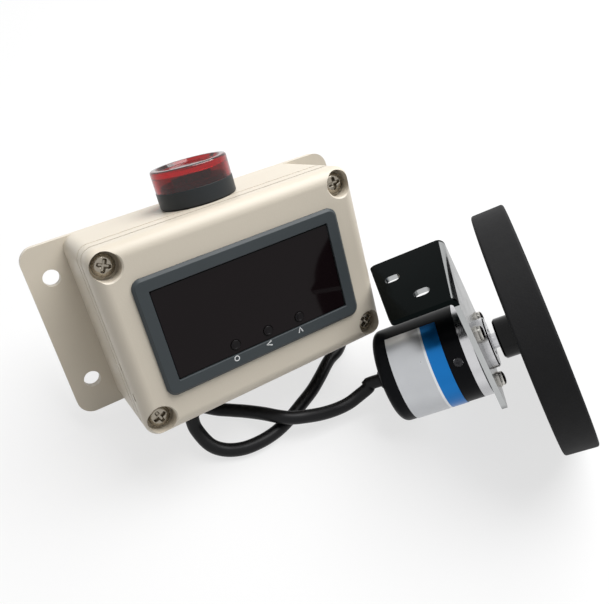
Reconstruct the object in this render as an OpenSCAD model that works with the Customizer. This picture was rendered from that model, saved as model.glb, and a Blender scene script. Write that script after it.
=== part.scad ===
// Cable length counter: a display box with a flashing beacon, and a measuring wheel on a rotary encoder.
// The box leans back on its sensor lead, and the encoder lies beside it on its wheel and its rear edge.
// Right is +X, up is +Z, the display faces -Y and the table is Z = 0. Lengths are in millimetres.

/* [Box] */
// Width of the box across the display
box_w = 100; // [98:1:112]
// Height of the box from its bottom side to the beacon's side
box_h = 69; // [68:1:80]
// Depth of the box from its back to the lid's front
box_d = 50; // [48:1:58]
// Angle by which the box leans back from upright
lean = 30; // [25:1:35]
// Height of the box's lowest edge above the table
edge_lift = 5.6; // [5.6:0.1:8]
// Thickness of the box's walls
wall = 2.5; // [2:0.1:3]
// Radius of the box's corners and front edges
box_round = 5; // [3.5:0.5:6]
// Depth of the lid from the gasket to its front
lid_d = 9; // [8.5:0.5:12]
// Thickness of the gasket in the seam
gasket_t = 1; // [0.6:0.1:1.5]
// Distance of the gasket inside the box's sides
gasket_inset = 0.8; // [0.4:0.1:1.2]
// Distance of the line groove behind the seam
groove_drop = 6; // [4:0.5:8]
// Width of the line groove
groove_w = 1; // [0.6:0.1:1.5]
// Depth of the line groove
groove_d = 0.6; // [0.3:0.1:0.9]
// Width of the two pry notches in the lid's left side
notch_w = 3; // [2:0.5:5]
// Depth of the pry notches
notch_d = 0.8; // [0.4:0.1:1.2]

/* [Wall plate] */
// Length of each ear of the wall plate beyond the box's side
ear_l = 16; // [14:1:20]
// Thickness of the wall plate, which is also the box's back
plate_t = 4; // [3:0.5:5]
// Radius of the wall plate's corners
plate_round = 6; // [3:0.5:8]
// Distance of the wall holes beyond the box's sides
hole_out = 7.5; // [7:0.5:9]
// Distance of the wall holes from the top and bottom sides
hole_in = 13; // [9.5:0.5:16.5]
// Radius of the wall holes
hole_r = 3.2; // [2.2:0.1:3.8]

/* [Lid screws] */
// Distance of the lid screws from the left and right sides
screw_in_x = 5.8; // [5.1:0.1:7]
// Distance of the lid screws from the top and bottom sides
screw_in_y = 6.1; // [5.1:0.1:6.5]
// Radius of the lid screws' shanks
screw_r = 2; // [1.5:0.1:2.2]
// Radius of the lid screws' heads
screw_head_r = 3.9; // [3.2:0.1:4.4]
// Thickness of the lid screws' heads
screw_head_t = 2.8; // [2:0.1:3.4]
// Length of the lid screws' shanks
screw_l = 16; // [12:1:24]
// Radius of the screw wells in the lid
well_r = 5; // [4.6:0.1:5.2]
// Depth of the screw wells from the lid's front
well_d = 6.5; // [5:0.5:7.5]
// Width of the bevel round the mouth of each well
well_bevel = 0.5; // [0.3:0.1:0.7]
// Radius of the corner posts that take the screws
post_r = 6; // [5.6:0.1:6.4]

/* [Display meter] */
// Width of the meter's bezel
bezel_w = 79; // [79:0.5:81]
// Height of the meter's bezel
bezel_h = 43; // [43:0.5:45]
// Height of the bezel above the lid
bezel_t = 1.6; // [1.2:0.1:2.5]
// Width of the bevel round the bezel
bezel_bevel = 1; // [0.5:0.1:1.1]
// Radius of the bezel's corners
bezel_round = 3.5; // [2:0.5:5]
// Width of the meter's body behind the bezel
meter_w = 76; // [74:0.5:76.5]
// Height of the meter's body behind the bezel
meter_h = 39.6; // [38:0.2:40.4]
// Depth of the meter's body behind the lid's front
meter_d = 22; // [20:0.5:24]
// Thickness of the meter's walls
meter_wall = 1.8; // [1.4:0.1:2.2]
// Width of the dark window
window_w = 68.4; // [66:0.2:70]
// Height of the dark window
window_h = 32.2; // [31.6:0.1:33]
// Thickness of the dark window
window_t = 2; // [1.5:0.1:2.5]
// Depth of the window's face below the bezel's
window_sink = 0.6; // [0.2:0.1:1]
// Width of the ledge that the window rests on
ledge = 0.7; // [0.5:0.1:0.8]
// Thickness of that ledge
ledge_t = 1; // [0.6:0.1:1.6]
// Depth of the display board's face behind the lid's front
board_sink = 12; // [11:0.5:13]
// Thickness of the circuit boards
board_t = 1.6; // [1:0.1:2]
// Distance between the meter's two boards
board_gap = 4.4; // [3:0.2:5]
// Width of the digit block
digits_w = 60; // [50:1:64]
// Height of the digit block
digits_h = 19; // [14:0.5:20]
// Thickness of the digit block
digits_t = 7; // [5:0.5:7.5]
// Height of the digit block's centre above the window's
digits_rise = 3; // [2:0.5:4]
// Number of digits
digit_count = 6; // [4:1:6]

/* [Buttons] */
// Distance between the buttons
button_pitch = 13.2; // [9:0.1:15]
// Place of the middle button along the window
button_x = 1.4; // [-3:0.1:4]
// Distance of the buttons below the window's centre
button_drop = 13; // [12:0.1:13.2]
// Radius of the buttons
button_r = 1.8; // [1.2:0.1:2]
// Height of the buttons above the window
button_proud = 0.5; // [0.5:0.1:1.2]
// Travel of a button when it is pressed
button_travel = 0.4; // [0.2:0.1:0.5]
// Width of the switch under each button
switch_w = 6; // [5:0.2:6.4]
// Height of the switch under each button
switch_h = 4; // [3:0.2:5]

/* [Beacon] */
// Distance of the beacon's centre from the box's back
beacon_z = 22; // [20:0.5:24]
// Radius of the beacon's black base
beacon_r = 14.5; // [13:0.5:15]
// Height of the beacon's black base
beacon_base_h = 6; // [4:0.5:8]
// Height of the beacon's red lens
beacon_lens_h = 8; // [6:0.5:12]
// Thickness of the lens's wall
lens_wall = 1.4; // [1:0.1:2]
// Depth of the dish in the lens's top
lens_dish = 1.2; // [0.6:0.1:2]
// Radius of the beacon's threaded barrel
barrel_r = 11; // [8:0.5:11]
// Length of the barrel inside the box's wall
barrel_l = 9.5; // [8:0.5:10]
// Thickness of the beacon's rubber gasket
beacon_seal_t = 0.5; // [0.4:0.1:1]
// Thickness of the beacon's ring nut
beacon_nut_t = 4; // [3:0.5:5]
// Radius of the lamp core under the lens
lamp_r = 5.3; // [4:0.1:8]

/* [Supply inlet] */
// Distance of the supply gland from the box's back
supply_z = 16; // [14:0.5:17]
// Distance of the supply gland below the middle of the box
supply_drop = 8; // [0:1:9]
// Radius of the hole for the supply cord
supply_bore_r = 3; // [2:0.1:3.2]
// Radius of the gland's threaded spigot
spigot_r = 6; // [5.6:0.1:7]
// Length of the gland outside the box
supply_l = 9; // [8:0.5:12]

/* [Boards in the base] */
// Width of the supply board
supply_board_w = 75; // [60:1:76]
// Height of the supply board
supply_board_h = 44; // [40:1:45]
// Height of the posts under the supply board
board_post_h = 4; // [3:0.5:5]

/* [Encoder] */
// Radius of the encoder's case
case_r = 19; // [17.5:0.1:20]
// Distance from the wheel's middle to the encoder's rear face
case_rear = 59; // [56:0.5:64]
// Radius of the case's rear edge
case_round = 3; // [2:0.5:4]
// Thickness of the case's wall
case_wall = 1.5; // [1.2:0.1:1.6]
// Thickness of the flange's rim between the case and the bracket
flange_t = 4.5; // [4:0.5:6]
// Radius of the bearing boss
boss_r = 10; // [8.5:0.5:11]
// Length of the boss in front of the flange
boss_l = 5; // [3.5:0.5:6]
// Radius of the shaft
shaft_r = 3; // [2.5:0.5:4]
// Outer radius of the bearings
bearing_r = 6.5; // [6.5:0.5:7.5]
// Width of the bearings
bearing_w = 5; // [4:0.5:5]
// Radius of the code disc
disc_r = 13; // [11:0.5:13.5]
// Thickness of the code disc
disc_t = 1; // [0.6:0.1:1.2]
// Number of lines round the code disc
disc_lines = 60; // [24:12:96]
// Width of the case's label along the shaft
label_w = 20.6; // [14:0.2:22]
// Distance of the label's front edge from the wheel's middle
label_front = 32.3; // [31:0.1:34]
// Thickness of the label
label_t = 0.2; // [0.1:0.05:0.3]

/* [Bracket] */
// Width of the bracket
bracket_w = 43.5; // [38:0.5:48]
// Thickness of the bracket's sheet
bracket_t = 2; // [1.5:0.5:3]
// Height of the slotted leg's outer face from the shaft
bracket_h = 38.8; // [34:0.2:46]
// Reach of the plate past the shaft on its free side
bracket_foot = 16.8; // [14:0.2:18]
// Length of the slotted leg on its far side
bracket_l = 31; // [29:0.5:34]
// How much shorter the slotted leg is on its near side
bracket_slant = 7; // [4:0.5:9]
// Turn of the bracket round the shaft
bracket_roll = 15.7; // [0:0.1:30]
// Length of the slots
slot_l = 6.3; // [5:0.1:8]
// Width of the slots
slot_w = 4.5; // [2.5:0.1:5]
// Radius of the circle that the bracket's screws lie on
bolt_circle_r = 15; // [14:0.1:15.5]
// Radius of the bracket's screws
bolt_r = 1.5; // [1.5:0.1:2]
// Radius of the bracket screws' heads
bolt_head_r = 2.8; // [2.5:0.1:3]
// Thickness of the bracket screws' heads
bolt_head_t = 2; // [1.5:0.1:2.2]
// Thickness of the bracket screws' washers
washer_t = 0.6; // [0.4:0.1:0.8]

/* [Measuring wheel] */
// Distance round the wheel's tread
wheel_girth = 300; // [280:5:320]
// Width of the wheel
wheel_w = 12.5; // [10:0.5:15]
// Thickness of the rubber tread
tread_t = 3.8; // [2.5:0.1:5]
// Radius of the tread's edges
tread_round = 1; // [0.5:0.1:1.5]
// Thickness of the wheel's web
web_t = 5; // [3:0.5:7]
// Radius of the wheel's hub
hub_r = 8; // [7:0.5:10]
// Distance from the wheel's middle to the hub's inner face
hub_l = 13.5; // [13:0.1:14]
// Place of the wheel's middle to the right of the box's middle
wheel_x = 91; // [88:1:96]
// Distance of the wheel's middle in front of the box's lowest edge
wheel_y = 79; // [76:1:84]
// Turn of the shaft towards the front, seen from above
wheel_turn = 28.7; // [26:0.1:31]

/* [Sensor lead] */
// Diameter of the sensor lead
lead_d = 5.4; // [4.6:0.1:5.4]
// Distance of the lead's grommet from the box's left side
lead_in = 19; // [16:1:26]
// Distance of the lead's grommet from the box's back
lead_z = 31; // [28:0.5:33]
// Length of the grommet outside the box
grommet_l = 7; // [5:0.5:8]
// Length of the bush where the lead leaves the encoder
bush_l = 4; // [3:0.5:5]
// Radius of the coil's innermost turn
coil_in = 19; // [17:0.5:22]
// Distance from turn to turn and from layer to layer in the coil
coil_pitch = 5.9; // [5.9:0.05:6.1]
// Thickness of the coil's ties
tie_t = 0.8; // [0.5:0.1:1]
// Width of the coil's ties
tie_w = 4; // [2.5:0.5:6]

/* [Fits] */
// Clearance all round a piece that sits in another
seat_gap = 0.2; // [0.1:0.05:0.3]
// Clearance on the radius of a screw in its thread
thread_gap = 0.05; // [0.02:0.01:0.1]
// Clearance on the radius of a sliding stem
slide_gap = 0.06; // [0.03:0.01:0.1]
// Clearance on the radius between a ring and its seat
press_gap = 0.02; // [0.01:0.01:0.04]
// Clearance between the shaft and the parts that it turns in
turn_gap = 0.6; // [0.4:0.1:1]

/* [Hidden] */
$fn = 48;
cut = 1;                 // how far a cut runs past the face it opens
skin = 0.05;             // thickness of the slabs that a rounded shell is drawn over

// Places on the box's front and back
plate_w = box_w + 2 * ear_l;
hole_x = box_w + 2 * hole_out;
hole_y = box_h - 2 * hole_in;
screw_x = box_w - 2 * screw_in_x;
screw_y = box_h - 2 * screw_in_y;
inner_round = max(0.5, box_round - wall);
notch_places = [[-7.3, -1, 1.2], [-18, 4, 5.2]];   // up the side, and from and to in front of the seam

// Levels in the box, from its back
lid_z = box_d - lid_d;
seam_z = lid_z - gasket_t;
well_z = box_d - well_d;
bezel_z = box_d + bezel_t;
window_z = bezel_z - window_sink - window_t;
board_z = box_d - board_sink;
meter_board_z = board_z - board_t - board_gap;
meter_z = box_d - meter_d;
supply_board_z = plate_t + board_post_h;
board_top_z = supply_board_z + board_t;
board_hole_in = 4;       // distance of the supply board's screws from its edges
board_hole_x = supply_board_w - 2 * board_hole_in;
board_hole_y = supply_board_h - 2 * board_hole_in;
board_screw_r = 1.4;
board_post_r = 3;
meter_in_w = meter_w - 2 * meter_wall;
meter_in_h = meter_h - 2 * meter_wall;
header_l = 20;           // length of a strip of pins
header_w = 2.5;
header_in = 5.8;         // distance of the pins inside the meter's walls
clip_t = 2.4;
clip_h = 16;
terminal_way = 5;        // width of one way of a terminal block
terminal_w = 8;
terminal_h = 8;
screw_eye_r = 1.5;       // radius of the openings over the terminals' screws
terminal_in = 5;         // distance of the terminals' middle from the edge beside them
terminal_x = 10;         // place of the supply board's terminals along the board
relay_size = [19, 12, 10];
relay_place = [-22, 2];
capacitor_r = 4;
capacitor_h = 10;
capacitor_place = [26, 6];
spigot_in = 5;           // how far the gland's thread reaches past the wall
gland_seat_t = 3.5;
gland_nut_t = 3;
gland_lip = 1.4;         // thickness of the gland's seal
lamp_foot = 1.5;         // height of the plate under the beacon's lamp
barrel_wall = 1.8;
beacon_floor = 2;        // thickness of the base under the lamp's plate

// The wheel and the encoder: distances along the shaft run from the wheel's middle towards the encoder
wheel_r = wheel_girth / (2 * PI);
hub_gap = 5.5;           // from the hub to the bracket's plate
skirt_l = 6;             // how far the case slips over the flange's skirt
skirt_t = 2.3;
disc_gap = 8;            // from the skirt's end to the code disc
reader_gap = 5;          // from the code disc to the encoder's board
case_floor = 2.4;        // thickness of the case's rear wall
plate_front = hub_l + hub_gap;
flange_front = plate_front + bracket_t;
case_front = flange_front + flange_t;
skirt_end = case_front + skirt_l;
disc_back = skirt_end + disc_gap;
encoder_board_front = disc_back + reader_gap;
case_inner_r = case_r - case_wall;
case_screw_angles = [106.5, 226.5, 346.5];
case_screw_in = 3.2;     // distance of the case's screws behind its front edge
case_screw_z = case_front + case_screw_in;
case_screw_r = 1.6;
case_screw_sink = 0.3;   // depth of the case screws' heads below the case's face
bush_r = 4;
boss_front = flange_front - boss_l;
front_bearing_z = boss_front + bearing_w;
rear_bearing_in = 4;     // distance of the rear bearing behind the case's front edge
rear_bearing_z = case_front + rear_bearing_in;
ball_r = (bearing_r - shaft_r) * 0.27;
ball_circle_r = (bearing_r + shaft_r) / 2;
race_t = (bearing_r - shaft_r) * 0.34;
leg_end_r = 2;           // radius of the slotted leg's end corners
bracket_corner = 4;      // radius of the plate's free corners
bolt_angles = [80.2, 200.2, 320.2];
slot_places = [[plate_front + 11.4, 10.5], [plate_front + 21.8, -6.1]];   // along the shaft, and across the leg
rim_r = wheel_r - tread_t;
rim_t = 4;
rim_inset = 0.5;         // how far the core's rim stands inside the tread's sides
hub_out = 2;             // how far the hub stands out of the web on the outer side
set_screw_r = 1.5;
set_screw_z = hub_l - 3.2;
flat_x = shaft_r * 0.8;  // distance of the shaft's flat from its middle
shaft_end = 3;           // how far the shaft reaches past the wheel's middle
grommet_r = 4;

// The shaft's tilt and the wheel's height, at which the tread's rear rim and the case's rear rim both touch
// the table: both rims are small circles of the edge radius, carried round the shaft
rim_step = (wheel_r - tread_round) - (case_r - case_round);
rim_span = (case_rear - case_round) - (wheel_w / 2 - tread_round);
shaft_tilt = acos((case_round - tread_round) / norm([rim_step, rim_span])) - atan2(rim_span, rim_step);
wheel_z = (wheel_r - tread_round) * cos(shaft_tilt) + (wheel_w / 2 - tread_round) * sin(shaft_tilt)
    + tread_round;
shaft_dir = [cos(shaft_tilt) * cos(wheel_turn), -cos(shaft_tilt) * sin(wheel_turn), sin(shaft_tilt)];
wheel_middle = [wheel_x, -wheel_y, wheel_z];

// The wheel's reach sideways, and the beacon's reach backwards, which bound the object
function wheel_reach(d) =
    (wheel_r - tread_round) * sqrt(1 - d * d) + (wheel_w / 2 - tread_round) * abs(d) + tread_round;
beacon_top = box_h + beacon_seal_t + beacon_base_h + beacon_lens_h;
lens_round = 1;
back_reach = max(box_h * sin(lean),
    (beacon_top - lens_round) * sin(lean) - beacon_z * cos(lean)
        + (beacon_r - lens_round) * cos(lean) + lens_round);
left_reach = -plate_w / 2;
right_reach = wheel_x + wheel_reach(shaft_dir[0]);
front_reach = -wheel_y - wheel_reach(shaft_dir[1]);
middle = [(left_reach + right_reach) / 2, (front_reach + back_reach) / 2, 0];

// The sensor lead
lead_r = lead_d / 2;
lead_x = box_w / 2 - lead_in;
coil_half_turns = 3.25;
coil_out = coil_in + coil_half_turns * coil_pitch;
coil_mid = [0, 41];
coil_z = tie_t + 0.1 + lead_r;
coil_top_z = coil_z + coil_pitch;
bush_tip = wheel_middle - (case_rear + bush_l) * shaft_dir;
front_dir = [0, -cos(lean), sin(lean)];
up_dir = [0, sin(lean), cos(lean)];
grommet_root = [-lead_x, 0, edge_lift] + lead_z * front_dir;
grommet_tip = grommet_root - grommet_l * up_dir;
coil_start = [coil_mid[0] - coil_out, coil_mid[1] - lead_d, coil_z];
coil_end = [coil_mid[0] + coil_out, coil_mid[1] - lead_d, coil_top_z];
// From the encoder, over the loop in front of the box, under the box and back to the coil
front_route = [[38.4, -51.2, 10], [33.5, -51.3, 7.6], [28.5, -51.5, 6.2], [22.5, -51.2, 6], [15.5, -50.4, 7],
    [8.5, -48.8, 8.4], [3.6, -46.9, 9], [-0.3, -43.8, 8.9], [-4.4, -38.4, 7.2], [-9, -32.6, 4.8],
    [-13.5, -28.2, 3.4], [-19, -23.6, 2.8], [-25.5, -16.5, 2.8], [-31, -7, 2.8], [-35, 4, 2.8],
    [-37.6, 16, 3], [-38.2, 26, 3.4]];
// From the coil, under the box, along its front in a loop and up into the grommet
loop_route = [[38.3, 27, 8.4], [39.8, 18, 6], [43, 8.5, 3.6], [47, -1.5, 2.8], [49, -11, 2.8], [47, -19, 2.8],
    [42, -23.8, 2.8], [35.5, -26.6, 2.8], [27.5, -32, 2.8], [20.5, -36.4, 2.8], [12.5, -40.2, 2.8],
    [5, -43.6, 2.8], [-2.5, -46, 2.8], [-10, -46.8, 2.8], [-17.5, -46, 2.8], [-24, -43.2, 3.4],
    [-28.6, -39.4, 6]];

// Moves what is drawn in the box's own frame: X across, Y towards the beacon, Z from the back to the front
module at_box() {
    translate([0, 0, edge_lift] - middle)
        rotate([90 - lean, 0, 0])
            translate([0, box_h / 2, 0]) children();
}

// Moves what is drawn round the shaft: Z runs along the shaft towards the wheel's outer face
module at_shaft() {
    translate(wheel_middle - middle)
        rotate([0, 0, -wheel_turn])
            rotate([0, 90 - shaft_tilt, 0]) children();
}

// Turns the shaft's frame so that X points at the bracket's slotted leg
module at_bracket() {
    at_shaft() rotate([0, 0, 180 - bracket_roll]) children();
}

// Frame of the beacon, with Z out of the box's top side
module at_beacon() {
    at_box() translate([0, box_h / 2, beacon_z]) rotate([-90, 0, 0]) children();
}

// Frame of the supply gland, with Z out of the box's right side
module at_supply() {
    at_box() translate([box_w / 2, -supply_drop, supply_z]) rotate([0, 90, 0]) children();
}

// Frame of the lead's grommet, with Z out of the box's bottom side
module at_grommet() {
    at_box() translate([-lead_x, -box_h / 2, lead_z]) rotate([90, 0, 0]) children();
}

module at_corners(dx, dy) {
    for (x = [-1, 1], y = [-1, 1])
        translate([x * dx / 2, y * dy / 2, 0]) children();
}

module rounded_rect(w, h, r) {
    square([w - 2 * r, h], center = true);
    square([w, h - 2 * r], center = true);
    at_corners(w - 2 * r, h - 2 * r) circle(r);
}

module slab(z0, z1, w, h, r) {
    translate([0, 0, z0]) linear_extrude(z1 - z0) rounded_rect(w, h, r);
}

module rod(z0, z1, r) {
    translate([0, 0, z0]) cylinder(h = z1 - z0, r = r);
}

module block(x0, x1, y0, y1, z0, z1) {
    translate([x0, y0, z0]) cube([x1 - x0, y1 - y0, z1 - z0]);
}

module tube(z0, z1, r_in, r_out) {
    difference() {
        rod(z0, z1, r_out);
        rod(z0 - cut, z1 + cut, r_in);
    }
}

function arc(x, y, r, a0, a1, n = 8) =
    [for (i = [0:n]) [x + r * cos(a0 + (a1 - a0) * i / n), y + r * sin(a0 + (a1 - a0) * i / n)]];

// A cross recess in a screw's head
module cross_recess(z, size, depth) {
    for (a = [0, 90])
        rotate([0, 0, a]) translate([-size / 2, -size / 8, z - depth]) cube([size, size / 4, depth + cut]);
}

// A screw with its head's underside at Z = 0 and its shank downwards
module cross_screw(shank_r, shank_l, head_r, head_t) {
    difference() {
        union() {
            rod(-shank_l, 0, shank_r);
            rod(0, head_t * 0.6, head_r);
            translate([0, 0, head_t * 0.6]) cylinder(h = head_t * 0.4, r1 = head_r, r2 = head_r * 0.72);
        }
        cross_recess(head_t, head_r * 1.1, head_t * 0.6);
    }
}

// ---- the box ----

module base_cavity() {
    difference() {
        slab(plate_t, seam_z + cut, box_w - 2 * wall, box_h - 2 * wall, inner_round);
        at_corners(screw_x, screw_y) rod(0, seam_z + 2 * cut, post_r);
        at_corners(board_hole_x, board_hole_y) rod(0, supply_board_z, board_post_r);
    }
}

module line_groove() {
    difference() {
        slab(seam_z - groove_drop - groove_w, seam_z - groove_drop, box_w + cut, box_h + cut, box_round);
        slab(seam_z - groove_drop - groove_w - cut, seam_z, box_w - 2 * groove_d, box_h - 2 * groove_d,
            box_round - groove_d);
    }
}

module side_hole_beacon() {
    translate([0, box_h / 2, beacon_z]) rotate([-90, 0, 0]) rod(-wall - cut, cut, barrel_r + seat_gap);
}

module side_hole_supply() {
    translate([box_w / 2, -supply_drop, supply_z]) rotate([0, 90, 0])
        rod(-wall - cut, cut, spigot_r + seat_gap);
}

module side_hole_lead() {
    translate([-lead_x, -box_h / 2, lead_z]) rotate([90, 0, 0]) rod(-wall - cut, cut, grommet_r);
}

// Base of the box, with the wall plate moulded on
module enclosure_base() {
    color("antiquewhite") at_box() difference() {
        union() {
            slab(0, plate_t, plate_w, box_h, plate_round);
            slab(0, seam_z, box_w, box_h, box_round);
        }
        base_cavity();
        line_groove();
        at_corners(hole_x, hole_y) rod(-cut, plate_t + cut, hole_r);
        at_corners(screw_x, screw_y) rod(well_z - screw_l - cut, seam_z + cut, screw_r + thread_gap);
        at_corners(board_hole_x, board_hole_y) rod(plate_t, supply_board_z + cut, board_screw_r + thread_gap);
        side_hole_beacon();
        side_hole_supply();
        side_hole_lead();
    }
}

// The lid's outside: a block whose front edges and corners are rounded
module lid_outside() {
    edge_x = box_w / 2 - box_round;
    edge_y = box_h / 2 - box_round;
    slab(lid_z, box_d - box_round, box_w, box_h, box_round);
    block(-edge_x, edge_x, -edge_y, edge_y, box_d - box_round - cut, box_d);
    intersection() {
        block(-box_w / 2, box_w / 2, -box_h / 2, box_h / 2, box_d - box_round - cut, box_d);
        union() {
            for (y = [-1, 1])
                translate([-edge_x, y * edge_y, box_d - box_round])
                    rotate([0, 90, 0]) rod(0, 2 * edge_x, box_round);
            for (x = [-1, 1])
                translate([x * edge_x, -edge_y, box_d - box_round])
                    rotate([-90, 0, 0]) rod(0, 2 * edge_y, box_round);
            at_corners(2 * edge_x, 2 * edge_y) translate([0, 0, box_d - box_round]) sphere(box_round);
        }
    }
}

module enclosure_lid() {
    color("antiquewhite") at_box() difference() {
        union() {
            lid_outside();
            intersection() {
                slab(seam_z, lid_z + cut, box_w - 2 * wall, box_h - 2 * wall, inner_round);
                at_corners(screw_x, screw_y) rod(seam_z, lid_z + cut, post_r);
            }
        }
        difference() {
            slab(lid_z - cut, box_d - wall, box_w - 2 * wall, box_h - 2 * wall, inner_round);
            at_corners(screw_x, screw_y) rod(lid_z - 2 * cut, box_d, post_r);
        }
        block(-meter_w / 2 - seat_gap, meter_w / 2 + seat_gap, -meter_h / 2 - seat_gap, meter_h / 2 + seat_gap,
            lid_z, box_d + cut);
        at_corners(screw_x, screw_y) rod(well_z, box_d + cut, well_r);
        at_corners(screw_x, screw_y) translate([0, 0, box_d - well_bevel])
            cylinder(h = well_bevel + skin, r1 = well_r, r2 = well_r + well_bevel + skin);
        at_corners(screw_x, screw_y) rod(seam_z - cut, well_z + cut, screw_r + seat_gap);
        for (p = notch_places)
            block(-box_w / 2 - cut, -box_w / 2 + notch_d, p[0] - notch_w / 2, p[0] + notch_w / 2,
                lid_z + p[1], lid_z + p[2]);
    }
}

module lid_gasket() {
    color("dimgray") at_box() difference() {
        slab(seam_z, lid_z, box_w - 2 * gasket_inset, box_h - 2 * gasket_inset, box_round - gasket_inset);
        slab(seam_z - cut, lid_z + cut, box_w - 2 * wall, box_h - 2 * wall, inner_round);
    }
}

module lid_screws() {
    color("silver") at_box()
        at_corners(screw_x, screw_y)
            translate([0, 0, well_z]) cross_screw(screw_r, screw_l, screw_head_r, screw_head_t);
}

// ---- the display meter ----

module meter_case() {
    color("darkslategray") at_box() difference() {
        union() {
            hull() {
                slab(box_d, box_d + bezel_t - bezel_bevel, bezel_w, bezel_h, bezel_round, $fn = 32);
                slab(box_d, bezel_z, bezel_w - 2 * bezel_bevel, bezel_h - 2 * bezel_bevel,
                    bezel_round - bezel_bevel / 2, $fn = 32);
            }
            block(-meter_w / 2, meter_w / 2, -meter_h / 2, meter_h / 2, meter_z, box_d + skin);
        }
        slab(window_z, bezel_z + cut, window_w + 2 * seat_gap, window_h + 2 * seat_gap, 1);
        slab(window_z - ledge_t - cut, bezel_z, window_w - 2 * ledge, window_h - 2 * ledge, 0.6);
        block(-meter_in_w / 2, meter_in_w / 2, -meter_in_h / 2, meter_in_h / 2,
            meter_z - cut, window_z - ledge_t);
    }
}

module at_buttons() {
    for (i = [-1, 0, 1])
        translate([button_x + i * button_pitch, -button_drop, 0]) children();
}

module display_window() {
    color("black", 0.8) at_box() difference() {
        slab(window_z, window_z + window_t, window_w, window_h, 0.8);
        at_buttons() rod(window_z - cut, window_z + window_t + cut, button_r + seat_gap);
    }
}

// Each digit is a shallow pocket in the front of the block
module digit_block() {
    digit_w = digits_w / digit_count;
    color("dimgray") at_box() translate([0, digits_rise, board_z]) difference() {
        block(-digits_w / 2, digits_w / 2, -digits_h / 2, digits_h / 2, 0, digits_t);
        for (i = [0:digit_count - 1])
            translate([(i - (digit_count - 1) / 2) * digit_w, 0, 0])
                for (y = [-1, 1])
                    block(-digit_w * 0.25, digit_w * 0.25, y * digits_h * 0.19 - digits_h * 0.11,
                        y * digits_h * 0.19 + digits_h * 0.11, digits_t - 0.4, digits_t + cut);
    }
}

module meter_board_plate(z) {
    block(-meter_in_w / 2 + seat_gap, meter_in_w / 2 - seat_gap, -meter_in_h / 2 + seat_gap,
        meter_in_h / 2 - seat_gap, z - board_t, z);
}

module display_board() {
    color("darkgreen") at_box() meter_board_plate(board_z);
}

module meter_board() {
    color("darkgreen") at_box() meter_board_plate(meter_board_z);
}

// Two strips of pins that join and space the meter's boards
module pin_headers() {
    color("black") at_box()
        for (x = [-1, 1])
            translate([x * (meter_in_w / 2 - header_in), 0, 0])
                block(-header_w / 2, header_w / 2, -header_l / 2, header_l / 2,
                    meter_board_z, board_z - board_t);
}

module meter_terminals() {
    back_z = meter_board_z - board_t;
    color("seagreen") at_box() translate([0, -meter_in_h / 2 + terminal_in + 1, back_z - terminal_h])
        terminal_strip(8, -cut, terminal_h * 0.4);
}

// A row of terminal ways, with an opening over each screw from z0 to z1
module terminal_strip(ways, z0, z1) {
    w = ways * terminal_way;
    difference() {
        block(-w / 2, w / 2, -terminal_w / 2, terminal_w / 2, 0, terminal_h);
        for (i = [0:ways - 1])
            translate([(i + 0.5) * terminal_way - w / 2, 0, 0]) rod(z0, z1, screw_eye_r);
    }
}

// Two clamps that slide on the meter's sides and pull its bezel against the lid
module meter_clips() {
    color("dimgray") at_box()
        for (x = [-1, 1])
            translate([x * (meter_w / 2 + clip_t / 2), 0, 0]) difference() {
                block(-clip_t / 2, clip_t / 2, -clip_h / 2, clip_h / 2, meter_z + 2, box_d - wall);
                for (k = [0:3])
                    block(-clip_t, clip_t, -clip_h / 2 + 3, clip_h / 2 - 3,
                        meter_z + 4 + k * 3, meter_z + 5.2 + k * 3);
            }
}

module button_switches() {
    color("silver") at_box() at_buttons() difference() {
        block(-switch_w / 2, switch_w / 2, -switch_w / 2, switch_w / 2, board_z, board_z + switch_h);
        rod(board_z + 1, board_z + switch_h + cut, button_r + slide_gap);
    }
}

// A button is a long stem that stands in its switch and shows through the window
module button(i) {
    stem_z = board_z + 1 + button_travel + 0.3;
    top_z = window_z + window_t + button_proud;
    color("black") at_box() translate([button_x + i * button_pitch, -button_drop, 0]) {
        rod(stem_z, top_z - 0.3, button_r);
        translate([0, 0, top_z - 0.3]) cylinder(h = 0.3, r1 = button_r, r2 = button_r - 0.3);
    }
}

module set_button() {
    button(-1);
}

module shift_button() {
    button(0);
}

module up_button() {
    button(1);
}

// ---- the beacon ----

module beacon_base() {
    z0 = beacon_seal_t;
    z1 = z0 + beacon_base_h;
    color("darkslategray") at_beacon() difference() {
        union() {
            rod(z0, z1, beacon_r);
            rod(z1 - skin, z1 + lamp_foot, beacon_r - lens_wall - 3 * seat_gap);
            rod(-wall - barrel_l, z0 + skin, barrel_r);
        }
        rod(-wall - barrel_l - cut, z1 - beacon_floor, barrel_r - barrel_wall);
    }
}

module beacon_lens() {
    z0 = beacon_seal_t + beacon_base_h;
    z1 = z0 + beacon_lens_h;
    r = beacon_r - 0.1;
    dish_r = r - 2.4;
    color("crimson", 0.7) at_beacon() rotate_extrude() polygon(concat(
        [[0, z1 - lens_dish - lens_wall], [r - lens_wall, z1 - lens_dish - lens_wall],
            [r - lens_wall, z0], [r, z0]],
        arc(r - lens_round, z1 - lens_round, lens_round, 0, 90),
        [[dish_r, z1], [dish_r - 0.8, z1 - lens_dish], [0, z1 - lens_dish]]));
}

module beacon_lamp() {
    z0 = beacon_seal_t + beacon_base_h + lamp_foot;
    color("dimgray") at_beacon() union() {
        rod(z0, z0 + beacon_lens_h - lamp_foot - lens_dish - lens_wall - 4 * seat_gap, lamp_r);
        for (a = [0:60:300])
            rotate([0, 0, a]) translate([lamp_r + 1.2, 0, 0]) rod(z0, z0 + 2, 1.3);
    }
}

module beacon_gasket() {
    color("black") at_beacon() tube(0, beacon_seal_t, barrel_r + seat_gap, beacon_r - 0.5);
}

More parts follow.
